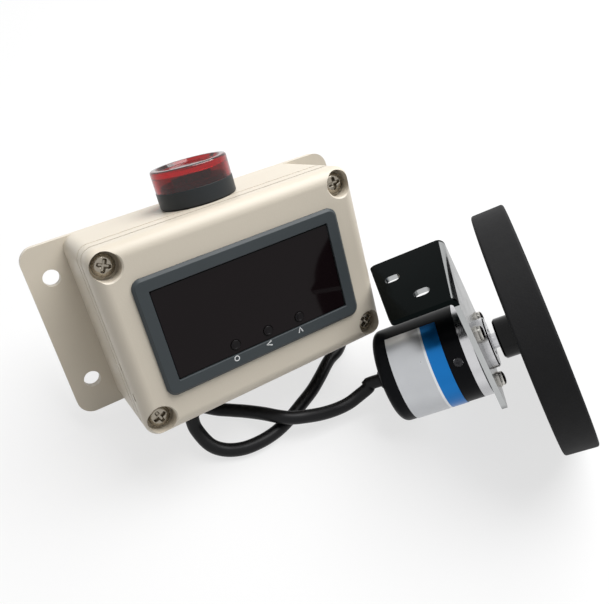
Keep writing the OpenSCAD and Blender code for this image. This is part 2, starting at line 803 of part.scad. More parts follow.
module beacon_nut() {
    color("dimgray") at_beacon() difference() {
        rod(-wall - beacon_nut_t, -wall, barrel_r + 2.6);
        rod(-wall - beacon_nut_t - cut, -wall + cut, barrel_r + thread_gap);
        for (a = [0:30:330])
            rotate([0, 0, a]) translate([barrel_r + 3.1, 0, 0]) rod(-wall - beacon_nut_t - cut, -wall - 1, 1);
    }
}

// ---- the supply inlet ----

module supply_gland() {
    color("black") at_supply() difference() {
        union() {
            cylinder(h = gland_seat_t, r = spigot_r + 2, $fn = 6);
            rod(-wall - spigot_in, skin, spigot_r);
            rod(gland_seat_t - skin, supply_l - 1.5, spigot_r);
            translate([0, 0, supply_l - 1.5]) cylinder(h = 1.5, r1 = spigot_r, r2 = spigot_r - 1.2);
        }
        rod(-wall - spigot_in - cut, supply_l + cut, supply_bore_r + 2 * seat_gap);
        rod(2, supply_l - 1, supply_bore_r + gland_lip);
    }
}

module supply_gland_seal() {
    color("dimgray") at_supply() tube(2, supply_l - 1, supply_bore_r, supply_bore_r + gland_lip - press_gap);
}

module supply_gland_nut() {
    color("black") at_supply() difference() {
        translate([0, 0, -wall - gland_nut_t]) cylinder(h = gland_nut_t, r = spigot_r + 2.4, $fn = 6);
        rod(-wall - gland_nut_t - cut, -wall + cut, spigot_r + thread_gap);
    }
}

// ---- the boards in the base ----

module supply_board() {
    color("darkgreen") at_box() difference() {
        block(-supply_board_w / 2, supply_board_w / 2, -supply_board_h / 2, supply_board_h / 2,
            supply_board_z, board_top_z);
        at_corners(board_hole_x, board_hole_y)
            rod(supply_board_z - cut, board_top_z + cut, board_screw_r + seat_gap);
    }
}

module board_screws() {
    color("silver") at_box() at_corners(board_hole_x, board_hole_y)
        translate([0, 0, board_top_z]) cross_screw(board_screw_r, board_t + board_post_h - 0.5, 2.6, 1.6);
}

module terminal_block() {
    color("seagreen") at_box()
        translate([terminal_x, -supply_board_h / 2 + terminal_in, board_top_z])
            terminal_strip(5, terminal_h * 0.6, terminal_h + cut);
}

module relay() {
    color("royalblue") at_box() translate([relay_place[0], relay_place[1], board_top_z])
        slab(0, relay_size[2], relay_size[0], relay_size[1], 0.6);
}

module filter_capacitor() {
    color("black") at_box() translate([capacitor_place[0], capacitor_place[1], board_top_z])
        rod(0, capacitor_h, capacitor_r);
}

// ---- the encoder ----

// Cup of the case, open at the flange, with its rear edge rounded
module encoder_case() {
    inner = case_inner_r;
    color("black") at_shaft() difference() {
        rotate_extrude() polygon(concat(
            [[0, -case_rear]],
            arc(case_r - case_round, -case_rear + case_round, case_round, -90, 0),
            [[case_r, -case_front], [inner, -case_front], [inner, -case_rear + case_floor],
                [0, -case_rear + case_floor]]));
        rod(-case_rear - cut, -case_rear + case_floor + cut, bush_r);
        for (a = case_screw_angles)
            rotate([0, 0, a]) translate([inner - 1, 0, -case_screw_z]) rotate([0, 90, 0])
                rod(0, case_wall + 1 + cut, case_screw_r + seat_gap);
    }
}

module flange_profile() {
    r0 = bearing_r + press_gap;
    polygon([[shaft_r + turn_gap, -front_bearing_z], [r0, -front_bearing_z], [r0, -boss_front],
        [boss_r - 0.5, -boss_front], [boss_r, -boss_front - 0.5], [boss_r, -flange_front],
        [case_r - 2, -flange_front], [case_r - 1, -flange_front - 0.8], [case_r, -flange_front - 0.8],
        [case_r, -case_front], [case_inner_r - seat_gap, -case_front], [case_inner_r - seat_gap, -skirt_end],
        [case_inner_r - seat_gap - skirt_t, -skirt_end], [case_inner_r - seat_gap - skirt_t, -case_front],
        [bearing_r + 2.5, -case_front], [bearing_r + 2.5, -rear_bearing_z - bearing_w],
        [r0, -rear_bearing_z - bearing_w], [r0, -rear_bearing_z],
        [shaft_r + turn_gap, -rear_bearing_z]]);
}

// Flange with its bearing boss, the skirt that the case slips over, and three threaded holes
module encoder_flange() {
    color("silver") at_shaft() difference() {
        rotate_extrude() flange_profile();
        for (a = bolt_angles)
            rotate([0, 0, a]) translate([bolt_circle_r, 0, 0])
                rod(-case_front - cut, -flange_front + cut, bolt_r + thread_gap);
        for (a = case_screw_angles)
            rotate([0, 0, a]) translate([case_inner_r - skirt_t - cut, 0, -case_screw_z]) rotate([0, 90, 0])
                rod(0, skirt_t + 2 * cut, case_screw_r / 2 + thread_gap);
    }
}

module case_screws() {
    color("gray") at_shaft()
        for (a = case_screw_angles)
            rotate([0, 0, a]) translate([case_inner_r, 0, -case_screw_z]) rotate([0, 90, 0]) difference() {
                union() {
                    rod(-2, skin, case_screw_r / 2);
                    rod(0, case_wall - case_screw_sink, case_screw_r);
                }
                cross_recess(case_wall - case_screw_sink, case_screw_r * 1.1, 0.6);
            }
}

// The label wraps round half of the case
module encoder_label() {
    color("silver") at_shaft() intersection() {
        tube(-label_front - label_w, -label_front, case_r, case_r + label_t);
        rotate([0, 0, 170]) block(-2 * case_r, 2 * case_r, 0, 2 * case_r, -case_rear, 0);
    }
}

module encoder_shaft() {
    color("silver") at_shaft() difference() {
        union() {
            rod(-disc_back - reader_gap, shaft_end - 0.5, shaft_r);
            translate([0, 0, shaft_end - 0.5]) cylinder(h = 0.5, r1 = shaft_r, r2 = shaft_r - 0.5);
        }
        block(flat_x, shaft_r + cut, -shaft_r, shaft_r, -hub_l + 1, shaft_end + cut);
    }
}

module at_bearings() {
    for (z = [-front_bearing_z, -rear_bearing_z - bearing_w])
        translate([0, 0, z]) children();
}

module race_groove(r) {
    rotate_extrude() translate([ball_circle_r, bearing_w / 2]) circle(r, $fn = 24);
}

module bearing_outer_rings() {
    color("lightsteelblue") at_shaft() at_bearings() difference() {
        tube(0, bearing_w, bearing_r - race_t, bearing_r);
        race_groove(ball_r + 0.05);
    }
}

module bearing_inner_rings() {
    color("lightsteelblue") at_shaft() at_bearings() difference() {
        tube(0, bearing_w, shaft_r + press_gap, shaft_r + race_t);
        race_groove(ball_r + 0.35);
    }
}

module bearing_balls() {
    color("gray") at_shaft() at_bearings()
        for (a = [0:45:315])
            rotate([0, 0, a]) translate([ball_circle_r + 0.04, 0, bearing_w / 2]) sphere(ball_r, $fn = 24);
}

// Code disc with a ring of fine lines cut through near its rim
module code_disc() {
    color("lightgray", 0.7) at_shaft() difference() {
        tube(-disc_back, -disc_back + disc_t, shaft_r + press_gap, disc_r);
        for (i = [0:disc_lines - 1])
            rotate([0, 0, i * 360 / disc_lines])
                block(disc_r - 3, disc_r - 1, -0.2, 0.2, -disc_back - cut, -disc_back + disc_t + cut);
    }
}

module disc_hub() {
    color("silver") at_shaft() difference() {
        tube(-disc_back - 4, -disc_back, shaft_r + press_gap, shaft_r + 3);
        rotate([0, 90, 0]) translate([disc_back + 2, 0, 0]) rod(shaft_r - cut, shaft_r + 3 + cut, 1);
    }
}

module encoder_board() {
    z1 = -encoder_board_front;
    color("darkgreen") at_shaft() difference() {
        rod(z1 - board_t, z1, case_inner_r - 0.5);
        rod(z1 - board_t - cut, z1 + cut, shaft_r + 3);
    }
}

// Reader that straddles the code disc's lines, with the lamp on one side and the eye on the other
module optical_reader() {
    color("black") at_shaft() rotate([0, 0, 90]) difference() {
        block(disc_r - 5, disc_r + 2.4, -4, 4, -encoder_board_front, -disc_back + disc_t + 3);
        block(disc_r - 5 - cut, disc_r + 0.8, -4 - cut, 4 + cut, -disc_back - 1, -disc_back + disc_t + 1);
    }
}

module board_pillars() {
    color("silver") at_shaft()
        for (a = [30, 150, 270])
            rotate([0, 0, a]) translate([case_inner_r - 1.9, 0, 0]) rod(-encoder_board_front, -skirt_end, 1.6);
}

// Rubber bush that the lead comes out of at the encoder's rear
module encoder_bush() {
    color("black") at_shaft() union() {
        rod(-case_rear - 1, -case_rear + case_floor + 1, bush_r - press_gap);
        rod(-case_rear + case_floor, -case_rear + case_floor + 1.2, bush_r + 1);
        translate([0, 0, -case_rear - bush_l]) cylinder(h = bush_l, r1 = lead_r + 0.5, r2 = bush_r + 0.6);
    }
}

// ---- the bracket ----

// The L of the bracket, seen from its side: X away from the shaft, Y along it
module bracket_outline() {
    inner_r = 1;
    x1 = bracket_h;
    y1 = -plate_front;
    t = bracket_t;
    difference() {
        union() {
            translate([-bracket_foot, y1 - t]) square([bracket_foot + x1 - t - inner_r, t]);
            translate([x1 - t, y1 - bracket_l]) square([t, bracket_l - t - inner_r]);
            intersection() {
                translate([x1 - t - inner_r, y1 - t - inner_r]) circle(t + inner_r);
                translate([x1 - t - inner_r, y1 - t - inner_r]) square(t + inner_r);
            }
        }
        translate([x1 - t - inner_r, y1 - t - inner_r]) circle(inner_r);
    }
}

module bracket() {
    color("gainsboro") at_bracket() difference() {
        rotate([90, 0, 0]) linear_extrude(bracket_w, center = true) bracket_outline();
        rod(-flange_front - cut, -plate_front + cut, boss_r + seat_gap);
        for (a = bolt_angles)
            rotate([0, 0, a - 180 + bracket_roll]) translate([bolt_circle_r, 0, 0])
                rod(-flange_front - cut, -plate_front + cut, bolt_r + seat_gap);
        for (p = slot_places)
            translate([bracket_h, p[1], -p[0]]) rotate([0, -90, 0]) slot_cut();
        for (y = [-1, 1])
            translate([-bracket_foot, y * bracket_w / 2, -flange_front - cut])
                corner_cut(bracket_corner, bracket_t + 2 * cut, [1, -y]);
        leg_end_cut();
    }
}

// Cuts the slotted leg's end along a slant and rounds its corners: X runs along the shaft, Y across the leg
module leg_end_cut() {
    r = leg_end_r;
    y = bracket_w / 2;
    end = -bracket_l - 2 * cut;
    slant = atan(bracket_slant / bracket_w);
    x_far = -bracket_l + r * (1 + sin(slant)) / cos(slant);
    x_near = -bracket_l + bracket_slant + r * (1 - sin(slant)) / cos(slant);
    translate([bracket_h + cut, 0, -plate_front]) rotate([0, -90, 0]) linear_extrude(bracket_t + 2 * cut)
        polygon(concat(
            [[x_far, -y - cut], [end, -y - cut], [end, y + cut], [x_near, y + cut]],
            arc(x_near, y - r, r, 90, 180 - slant),
            arc(x_far, -y + r, r, 180 - slant, 270)));
}

module slot_cut() {
    rod_l = bracket_t + 2 * cut;
    for (x = [-1, 1])
        translate([x * (slot_l - slot_w) / 2, 0, -cut]) cylinder(h = rod_l, r = slot_w / 2);
    translate([-(slot_l - slot_w) / 2, -slot_w / 2, -cut]) cube([slot_l - slot_w, slot_w, rod_l]);
}

// Cuts a square corner down to a round one; d points from the corner into the sheet
module corner_cut(r, h, d) {
    difference() {
        translate([d[0] * (r - cut) / 2, d[1] * (r - cut) / 2, h / 2]) cube([r + cut, r + cut, h], center = true);
        translate([d[0] * r, d[1] * r, -cut]) cylinder(h = h + 2 * cut, r = r);
    }
}

module bracket_screws() {
    color("silver") at_shaft()
        for (a = bolt_angles)
            rotate([0, 0, a]) translate([bolt_circle_r, 0, -plate_front + washer_t])
                cross_screw(bolt_r, washer_t + bracket_t + flange_t - 0.5, bolt_head_r, bolt_head_t);
}

module bracket_washers() {
    color("silver") at_shaft()
        for (a = bolt_angles)
            rotate([0, 0, a]) translate([bolt_circle_r, 0, -plate_front])
                tube(0, washer_t, bolt_r + seat_gap, bolt_head_r + 0.4);
}

// ---- the measuring wheel ----

module wheel_core() {
    rim_side = wheel_w / 2 - rim_inset;
    color("black") at_shaft() difference() {
        rotate_extrude() polygon([[shaft_r + press_gap, -hub_l], [hub_r - 0.8, -hub_l], [hub_r, -hub_l + 0.8],
            [hub_r, -web_t / 2], [rim_r - rim_t, -web_t / 2], [rim_r - rim_t, -rim_side], [rim_r, -rim_side],
            [rim_r, rim_side], [rim_r - rim_t, rim_side], [rim_r - rim_t, web_t / 2], [hub_r, web_t / 2],
            [hub_r, web_t / 2 + hub_out], [shaft_r + press_gap, web_t / 2 + hub_out]]);
        set_screw_hole(set_screw_r + thread_gap, cut);
    }
}

module set_screw_hole(r, past) {
    translate([0, 0, -set_screw_z]) rotate([0, 90, 0]) rod(shaft_r - past, hub_r + past, r);
}

module wheel_set_screw() {
    color("dimgray") at_shaft() translate([0, 0, -set_screw_z]) rotate([0, 90, 0]) difference() {
        rod(flat_x + press_gap, hub_r - 0.8, set_screw_r);
        translate([0, 0, hub_r - 2.3]) cylinder(h = 3, r = 0.85, $fn = 6);
    }
}

module wheel_tread() {
    h = wheel_w / 2 - tread_round;
    color("darkslategray") at_shaft() rotate_extrude() polygon(concat(
        [[rim_r + press_gap, -wheel_w / 2]],
        arc(wheel_r - tread_round, -h, tread_round, -90, 0),
        arc(wheel_r - tread_round, h, tread_round, 0, 90),
        [[rim_r + press_gap, wheel_w / 2]]));
}

// ---- the sensor lead ----

module lead_grommet() {
    color("black") at_grommet() union() {
        rod(-wall, skin, grommet_r - press_gap);
        rod(-wall - 1.5, -wall, grommet_r + 1);
        rod(0, 1.5, grommet_r + 1.5);
        translate([0, 0, 1.5 - skin]) cylinder(h = grommet_l - 1.5 + skin, r1 = grommet_r + 0.5, r2 = lead_r + 0.5);
    }
}

function unit(v) = v / norm(v);

// A smooth curve through the route's points: each span is a cubic that takes its slopes from its neighbours
function span_point(a, b, c, d, t) =
    0.5 * (2 * b + (c - a) * t + (2 * a - 5 * b + 4 * c - d) * t * t + (3 * b - a - 3 * c + d) * t * t * t);
function smooth_route(p, steps) = concat(
    [for (i = [0:len(p) - 2], k = [0:steps - 1])
        span_point(p[max(i - 1, 0)], p[i], p[i + 1], p[min(i + 2, len(p) - 1)], k / steps)],
    [p[len(p) - 1]]);

// A tube along the points c that leaves along d0 and arrives along d1, with one corner of each ring underneath
module swept_tube(c, d0, d1, sides) {
    n = len(c);
    dirs = [for (i = [0:n - 1]) i == 0 ? d0 : i == n - 1 ? d1 : unit(c[i + 1] - c[i - 1])];
    points = [for (i = [0:n - 1]) let (side = unit(cross(dirs[i], [0, 0, 1])), up = cross(side, dirs[i]))
        for (k = [0:sides - 1]) let (a = -90 + 360 * k / sides) c[i] + lead_r * (cos(a) * side + sin(a) * up)];
    walls = [for (i = [0:n - 2], k = [0:sides - 1]) let (m = (k + 1) % sides)
        each [[i * sides + k, i * sides + m, (i + 1) * sides + m],
              [i * sides + k, (i + 1) * sides + m, (i + 1) * sides + k]]];
    first = [for (k = [sides - 1:-1:0]) k];
    last = [for (k = [0:sides - 1]) (n - 1) * sides + k];
    translate(-middle) polyhedron(points, concat(walls, [first, last]));
}

function route_length(c) = [for (i = [1:len(c) - 1]) norm(c[i] - c[i - 1])] * [for (i = [1:len(c) - 1]) 1];

front_curve = smooth_route(concat([bush_tip, bush_tip - lead_d * shaft_dir], front_route, [coil_start]), 2);
loop_curve = smooth_route(concat([coil_end], loop_route,
    [grommet_tip - lead_d * up_dir, grommet_tip]), 2);

module lead_front() {
    color("black") swept_tube(front_curve, -shaft_dir, [0, 1, 0], 8);
}

module lead_loop() {
    color("black") swept_tube(loop_curve, [0, -1, 0], up_dir, 8);
}

// The coil: t counts turns from its innermost point. The turns spiral in along the table, climb one layer in
// the half turn where the spiral reverses, and spiral out again on top
function coil_climb(t) = t < -0.25 ? 0 : t > 0.25 ? 1 : 0.5 + 0.5 * sin(360 * t);
function coil_point(t) = let (r = coil_in + coil_pitch * abs(t), a = 90 - 360 * t)
    [coil_mid[0] + r * cos(a), coil_mid[1] + r * sin(a), coil_z + coil_pitch * coil_climb(t)];
coil_steps = round(24 * 2 * coil_half_turns);
coil_curve = concat([coil_start],
    [for (i = [0:coil_steps]) coil_point(-coil_half_turns + 2 * coil_half_turns * i / coil_steps)], [coil_end]);
coil_gap = min([for (i = [0:len(coil_curve) - 14]) for (j = [i + 13:len(coil_curve) - 1])
    norm(coil_curve[i] - coil_curve[j])]) - lead_d;
echo(coil_gap = coil_gap,  // lead_coil
        lead_length = route_length(front_curve) + route_length(loop_curve) + route_length(coil_curve));

module lead_coil() {
    color("black") swept_tube(coil_curve, [0, 1, 0], [0, -1, 0], 6);
}

// Three ties hold the coil's turns together
module lead_ties() {
    gap = 0.1;
    r0 = coil_in - lead_r - gap;
    r1 = coil_out + lead_r + gap;
    h = coil_pitch + lead_d + 2 * gap;
    color("dimgray") translate([coil_mid[0], coil_mid[1], 0] - middle)
        for (a = [90, 235, 305])
            rotate([90, 0, a]) translate([(r0 + r1) / 2, h / 2 + tie_t, -tie_w / 2]) {
                linear_extrude(tie_w) difference() {
                    rounded_rect(r1 - r0 + 2 * tie_t, h + 2 * tie_t, 1.5);
                    rounded_rect(r1 - r0, h, 1.5 - tie_t / 2);
                }
                translate([(r1 - r0) / 2, 0, 0]) block(tie_t / 2, tie_t + 3, -1.5, 2.5, -0.5, tie_w + 0.5);
            }
}

enclosure_base();
enclosure_lid();
lid_gasket();
lid_screws();
meter_case();
display_window();
digit_block();
display_board();
meter_board();
pin_headers();
meter_terminals();
meter_clips();
button_switches();
set_button();
shift_button();
up_button();
beacon_base();
beacon_lens();
beacon_lamp();
beacon_gasket();
beacon_nut();
supply_gland();
supply_gland_seal();
supply_gland_nut();
supply_board();
board_screws();
terminal_block();
relay();
filter_capacitor();
encoder_case();
encoder_flange();
case_screws();
encoder_label();
encoder_shaft();
bearing_outer_rings();
bearing_inner_rings();
bearing_balls();
code_disc();
disc_hub();
encoder_board();
optical_reader();
board_pillars();
encoder_bush();
bracket();
bracket_screws();
bracket_washers();
wheel_core();
wheel_tread();
wheel_set_screw();
lead_grommet();
lead_front();
lead_loop();
lead_coil();
lead_ties();
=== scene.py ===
import math

import bmesh
import bpy
import numpy as np
from mathutils import Matrix, Vector


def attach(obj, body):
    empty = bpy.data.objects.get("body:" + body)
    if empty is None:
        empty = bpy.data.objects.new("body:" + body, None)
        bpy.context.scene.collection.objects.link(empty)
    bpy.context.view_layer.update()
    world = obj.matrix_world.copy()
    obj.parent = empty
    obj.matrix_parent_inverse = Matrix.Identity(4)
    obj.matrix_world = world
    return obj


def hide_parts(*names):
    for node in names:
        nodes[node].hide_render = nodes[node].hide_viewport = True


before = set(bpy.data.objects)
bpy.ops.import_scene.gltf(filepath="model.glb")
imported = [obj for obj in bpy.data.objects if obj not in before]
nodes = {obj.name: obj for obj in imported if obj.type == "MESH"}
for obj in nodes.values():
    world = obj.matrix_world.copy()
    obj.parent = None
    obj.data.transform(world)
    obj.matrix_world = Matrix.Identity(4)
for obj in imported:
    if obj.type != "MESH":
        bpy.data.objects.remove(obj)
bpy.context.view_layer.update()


# ---- Camera ----
# The camera stands above the box's left front and looks down across it at the wheel, as in the photograph.
# Its place and lens were worked out from points on the box, the encoder and the wheel.
camera_data = bpy.data.cameras.new("camera")
camera_data.sensor_width = 36
camera_data.lens = 38.39
camera_data.clip_start, camera_data.clip_end = 0.02, 20
camera = bpy.data.objects.new("camera", camera_data)
camera.matrix_world = Matrix((
    (0.8475, 0.3682, -0.3823, -0.10339),
    (-0.5299, 0.6282, -0.5697, -0.12262),
    (0.0304, 0.6854, 0.7275, 0.22774),
    (0, 0, 0, 1),
))
bpy.context.scene.collection.objects.link(camera)
bpy.context.scene.camera = camera
bpy.context.scene.view_settings.view_transform = "Standard"


# ---- Sensor lead ----
# A black round cable of about 1.5 m. It leaves the encoder's rear, lies in a loop before the box, runs under it to
# a coil of six and a half turns behind it, and comes back along the front and up into the box's bottom side.
# Lengths are in millimetres and angles in degrees, and middle is the row frame's origin in the drawing's frame.
middle = np.array([30.05870258, -44.87904636, 0])
box_lean, box_rise = 30, 5.6
grommet_x, grommet_z, grommet_l = -31, 31, 7
wheel_middle = np.array([91, -79, 44.3426])
shaft_tilt, shaft_turn, bush_reach = 29.278, 28.7, 63
lean, tilt, swivel = (math.radians(angle) for angle in (box_lean, shaft_tilt, shaft_turn))
up_dir = np.array([0, math.sin(lean), math.cos(lean)])
front_dir = np.array([0, -math.cos(lean), math.sin(lean)])
shaft_dir = np.array([math.cos(tilt) * math.cos(swivel), -math.cos(tilt) * math.sin(swivel), math.sin(tilt)])
bush_tip = wheel_middle - bush_reach * shaft_dir
grommet_tip = np.array([grommet_x, 0, box_rise]) + grommet_z * front_dir - grommet_l * up_dir

lead_d = 5.4
front_route = [
    [38.4, -51.2, 10], [33.5, -51.3, 7.6], [28.5, -51.5, 6.2], [22.5, -51.2, 6], [15.5, -50.4, 7],
    [8.5, -48.8, 8.4], [3.6, -46.9, 9], [-0.3, -43.8, 8.9], [-4.4, -38.4, 7.2], [-9, -32.6, 4.8],
    [-13.5, -28.2, 3.4], [-19, -23.6, 2.8], [-25.5, -16.5, 2.8], [-31, -7, 2.8], [-35, 4, 2.8],
    [-37.6, 16, 3], [-38.2, 26, 3.4],
]
loop_route = [
    [38.3, 27, 8.4], [39.8, 18, 6], [43, 8.5, 3.6], [47, -1.5, 2.8], [49, -11, 2.8], [47, -19, 2.8],
    [42, -23.8, 2.8], [35.5, -26.6, 2.8], [27.5, -32, 2.8], [20.5, -36.4, 2.8], [12.5, -40.2, 2.8],
    [5, -43.6, 2.8], [-2.5, -46, 2.8], [-10, -46.8, 2.8], [-17.5, -46, 2.8], [-24, -43.2, 3.4],
    [-28.6, -39.4, 6],
]
coil_in, coil_pitch, coil_turns = 19, 5.9, 3.25
coil_mid, coil_z = np.array([0, 41, 0]), 3.6
coil_out = coil_in + coil_turns * coil_pitch
route_steps, turn_steps = 6, 48


def placed(points, spot):
    """Points in millimetres in the frame of a 4 by 4 matrix, as metres in the row frame."""
    spot = np.array(spot)
    return (points @ spot[:3, :3].T + spot[:3, 3] - middle) / 1000


def smooth_route(points, steps):
    """Points along a route: each span is the cubic 0.5 (2b + (c-a)t + (2a-5b+4c-d)t^2 + (3b-a-3c+d)t^3), where b
    and c are its ends and a and d the points before and after them."""
    p = np.array([points[0], *points, points[-1]], float)
    a, b, c, d = p[:-3, None], p[1:-2, None], p[2:-1, None], p[3:, None]
    t = (np.arange(steps) / steps)[None, :, None]
    spans = 0.5 * (2 * b + (c - a) * t + (2 * a - 5 * b + 4 * c - d) * t**2 + (3 * b - a - 3 * c + d) * t**3)
    return np.concatenate([spans.reshape(-1, 3), p[-1:]])


def coil_route(per_turn):
    """Points of the coil: at t turns from the middle the radius is coil_in + coil_pitch |t| and the angle
    90 - 360 t degrees, and the height rises by one pitch, as half a sine wave, between t = -1/4 and t = 1/4."""
    t = np.linspace(-coil_turns, coil_turns, round(2 * coil_turns * per_turn) + 1)
    radius, angle = coil_in + coil_pitch * np.abs(t), math.pi / 2 - 2 * math.pi * t
    climb = np.where(t < -0.25, 0, np.where(t > 0.25, 1, 0.5 + 0.5 * np.sin(2 * math.pi * t)))
    return coil_mid + np.stack([radius * np.cos(angle), radius * np.sin(angle), coil_z + coil_pitch * climb], -1)


def tube(path, radius, first, last, around=20):
    """Rings of a round tube: path + radius (cos a side + sin a up), where side and up stand across the path. Each
    ring's first point is underneath, and the ends close on the path. The second array is the same tube laid out
    straight, for patterns that follow it."""
    way = np.gradient(path, axis=0)
    way[0], way[-1] = first, last
    way /= np.linalg.norm(way, axis=1)[:, None]
    side = np.cross(way, [0, 0, 1])
    side /= np.linalg.norm(side, axis=1)[:, None]
    up = np.cross(side, way)
    a = np.linspace(0, 2 * math.pi, around, endpoint=False) - math.pi / 2
    rings = path[:, None] + radius * (np.cos(a)[:, None] * side[:, None] + np.sin(a)[:, None] * up[:, None])
    along = np.concatenate([[0], np.cumsum(np.linalg.norm(np.diff(path, axis=0), axis=1))])
    laid = np.stack(np.broadcast_arrays(along[:, None], radius * np.cos(a), radius * np.sin(a)), -1)
    ends = [np.repeat(path[k][None, None], around, 1) for k in (0, -1)]
    return np.concatenate([ends[0], rings, ends[1]]), np.concatenate([laid[:1], laid, laid[-1:]])


def tone(red, green, blue):
    """A colour written as three numbers up to 255, as the light values that a shader takes: c / 12.92 in the dark
    end and ((c + 0.055) / 1.055)^2.4 above it."""
    c = np.array([red, green, blue]) / 255
    return (*np.where(c <= 0.04045, c / 12.92, ((c + 0.055) / 1.055) ** 2.4), 1.0)


def worked(tree, kind, operation, *taken):
    """The value of one Math or VectorMath node. Each thing taken is a socket to link or a plain value to set."""
    node = tree.nodes.new("ShaderNode" + kind)
    node.operation = operation
    for socket, source in zip(node.inputs, taken):
        if isinstance(source, bpy.types.NodeSocket):
            tree.links.new(source, socket)
        else:
            socket.default_value = source
    return node.outputs["Value"]


# Shader group for every finish: the colour and roughness drift in soft patches and the normal carries a fine grain.
# The patches of the roughness are finer than those of the colour by smear_ratio.
smear_ratio = 3.1
play = bpy.data.node_groups.new("surface_play", "ShaderNodeTree")
for label, kind in (("Coordinates", "Vector"), ("Colour", "Color"), ("Colour Play", "Float"),
        ("Patch Scale", "Float"), ("Roughness", "Float"), ("Roughness Play", "Float"), ("Grain Scale", "Float"),
        ("Grain Depth", "Float")):
    play.interface.new_socket(label, in_out="INPUT", socket_type="NodeSocket" + kind)
for label, kind in (("Colour", "Color"), ("Roughness", "Float"), ("Normal", "Vector")):
    play.interface.new_socket(label, in_out="OUTPUT", socket_type="NodeSocket" + kind)
given, made = play.nodes.new("NodeGroupInput"), play.nodes.new("NodeGroupOutput")
patches, smears, grain = (play.nodes.new("ShaderNodeTexNoise") for _ in range(3))
value, bump = play.nodes.new("ShaderNodeHueSaturation"), play.nodes.new("ShaderNodeBump")


def swing(noise, share, base):
    """The value base + 2 share (noise - 0.5), which swings round the base by up to the share."""
    lift = worked(play, "Math", "SUBTRACT", noise.outputs["Fac"], 0.5)
    reach = worked(play, "Math", "MULTIPLY", lift, given.outputs[share])
    return worked(play, "Math", "MULTIPLY_ADD", reach, 2, base)


for source, target in (
        (given.outputs["Coordinates"], patches.inputs["Vector"]),
        (given.outputs["Coordinates"], smears.inputs["Vector"]),
        (given.outputs["Coordinates"], grain.inputs["Vector"]),
        (given.outputs["Patch Scale"], patches.inputs["Scale"]),
        (worked(play, "Math", "MULTIPLY", given.outputs["Patch Scale"], smear_ratio), smears.inputs["Scale"]),
        (given.outputs["Grain Scale"], grain.inputs["Scale"]),
        (given.outputs["Colour"], value.inputs["Color"]),
        (swing(patches, "Colour Play", 1), value.inputs["Value"]),
        (value.outputs["Color"], made.inputs["Colour"]),
        (swing(smears, "Roughness Play", given.outputs["Roughness"]), made.inputs["Roughness"]),
        (grain.outputs["Fac"], bump.inputs["Height"]),
        (given.outputs["Grain Depth"], bump.inputs["Distance"]),
        (bump.outputs["Normal"], made.inputs["Normal"])):
    play.links.new(source, target)


def finish(name, colour, roughness, colour_play=0.05, patch=40, roughness_play=0.05, grain=2500, depth=1e-5,
        stretch=(1, 1, 1), follows=None, **plain):
    """A Principled material whose colour, roughness and normal come from the surface group. stretch squeezes the
    pattern along an axis, follows names an attribute to read it from, and plain sets sockets that never change."""
    material = bpy.data.materials.new(name)
    material.use_nodes = True
    tree = material.node_tree
    shader = tree.nodes["Principled BSDF"]
    for socket, amount in plain.items():
        shader.inputs[socket.replace("_", " ")].default_value = amount
    drift = tree.nodes.new("ShaderNodeGroup")
    drift.node_tree, drift.name = play, "surface_play"
    for socket, amount in (("Colour", colour), ("Colour Play", colour_play), ("Patch Scale", patch),
            ("Roughness", roughness), ("Roughness Play", roughness_play), ("Grain Scale", grain),
            ("Grain Depth", depth)):
        drift.inputs[socket].default_value = amount
    if follows:
        place = tree.nodes.new("ShaderNodeAttribute")
        place.attribute_name = follows
        where = place.outputs["Vector"]
    else:
        where = tree.nodes.new("ShaderNodeTexCoord").outputs["Object"]
    mapping = tree.nodes.new("ShaderNodeMapping")
    mapping.inputs["Scale"].default_value = stretch
    tree.links.new(where, mapping.inputs["Vector"])
    tree.links.new(mapping.outputs["Vector"], drift.inputs["Coordinates"])
    for out, socket in (("Colour", "Base Color"), ("Roughness", "Roughness"), ("Normal", "Normal")):
        tree.links.new(drift.outputs[out], shader.inputs[socket])
    return material


def piece(name, sheets, material, body="root", replaces=(), laid=None, sharp=40, doubled=1e-7):
    """One object from grids of points, rows by columns by 3. Each row is a ring, joined to the next row and back to
    its own start. Points closer than doubled are merged, the faces turned outwards and edges over sharp degrees kept
    crisp. laid holds the points of an attribute that a pattern follows."""
    points = np.concatenate([s.reshape(-1, 3) for s in sheets])
    faces, first = [], 0
    for rows, columns in (s.shape[:2] for s in sheets):
        i, j = np.arange(rows - 1)[:, None] * columns, np.arange(columns)[None]
        k = (j + 1) % columns
        faces.append(first + np.stack([i + j, i + k, i + columns + k, i + columns + j], -1).reshape(-1, 4))
        first += rows * columns
    mesh = bpy.data.meshes.new(name)
    mesh.from_pydata(points.tolist(), [], np.concatenate(faces).tolist())
    if laid is not None:
        straight = mesh.attributes.new("laid", "FLOAT_VECTOR", "POINT")
        straight.data.foreach_set("vector", (laid / 1000).astype(np.float32).ravel())
    shell = bmesh.new()
    shell.from_mesh(mesh)
    bmesh.ops.remove_doubles(shell, verts=shell.verts, dist=doubled)
    bmesh.ops.recalc_face_normals(shell, faces=shell.faces)
    shell.to_mesh(mesh)
    shell.free()
    mesh.shade_smooth()
    mesh.set_sharp_from_angle(angle=math.radians(sharp))
    mesh.materials.append(material)
    formed = bpy.data.objects.new(name, mesh)
    bpy.context.scene.collection.objects.link(formed)
    formed.modifiers.new("flat faces", "WEIGHTED_NORMAL").keep_sharp = True
    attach(formed, body)
    if replaces:
        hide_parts(*replaces)
    return formed


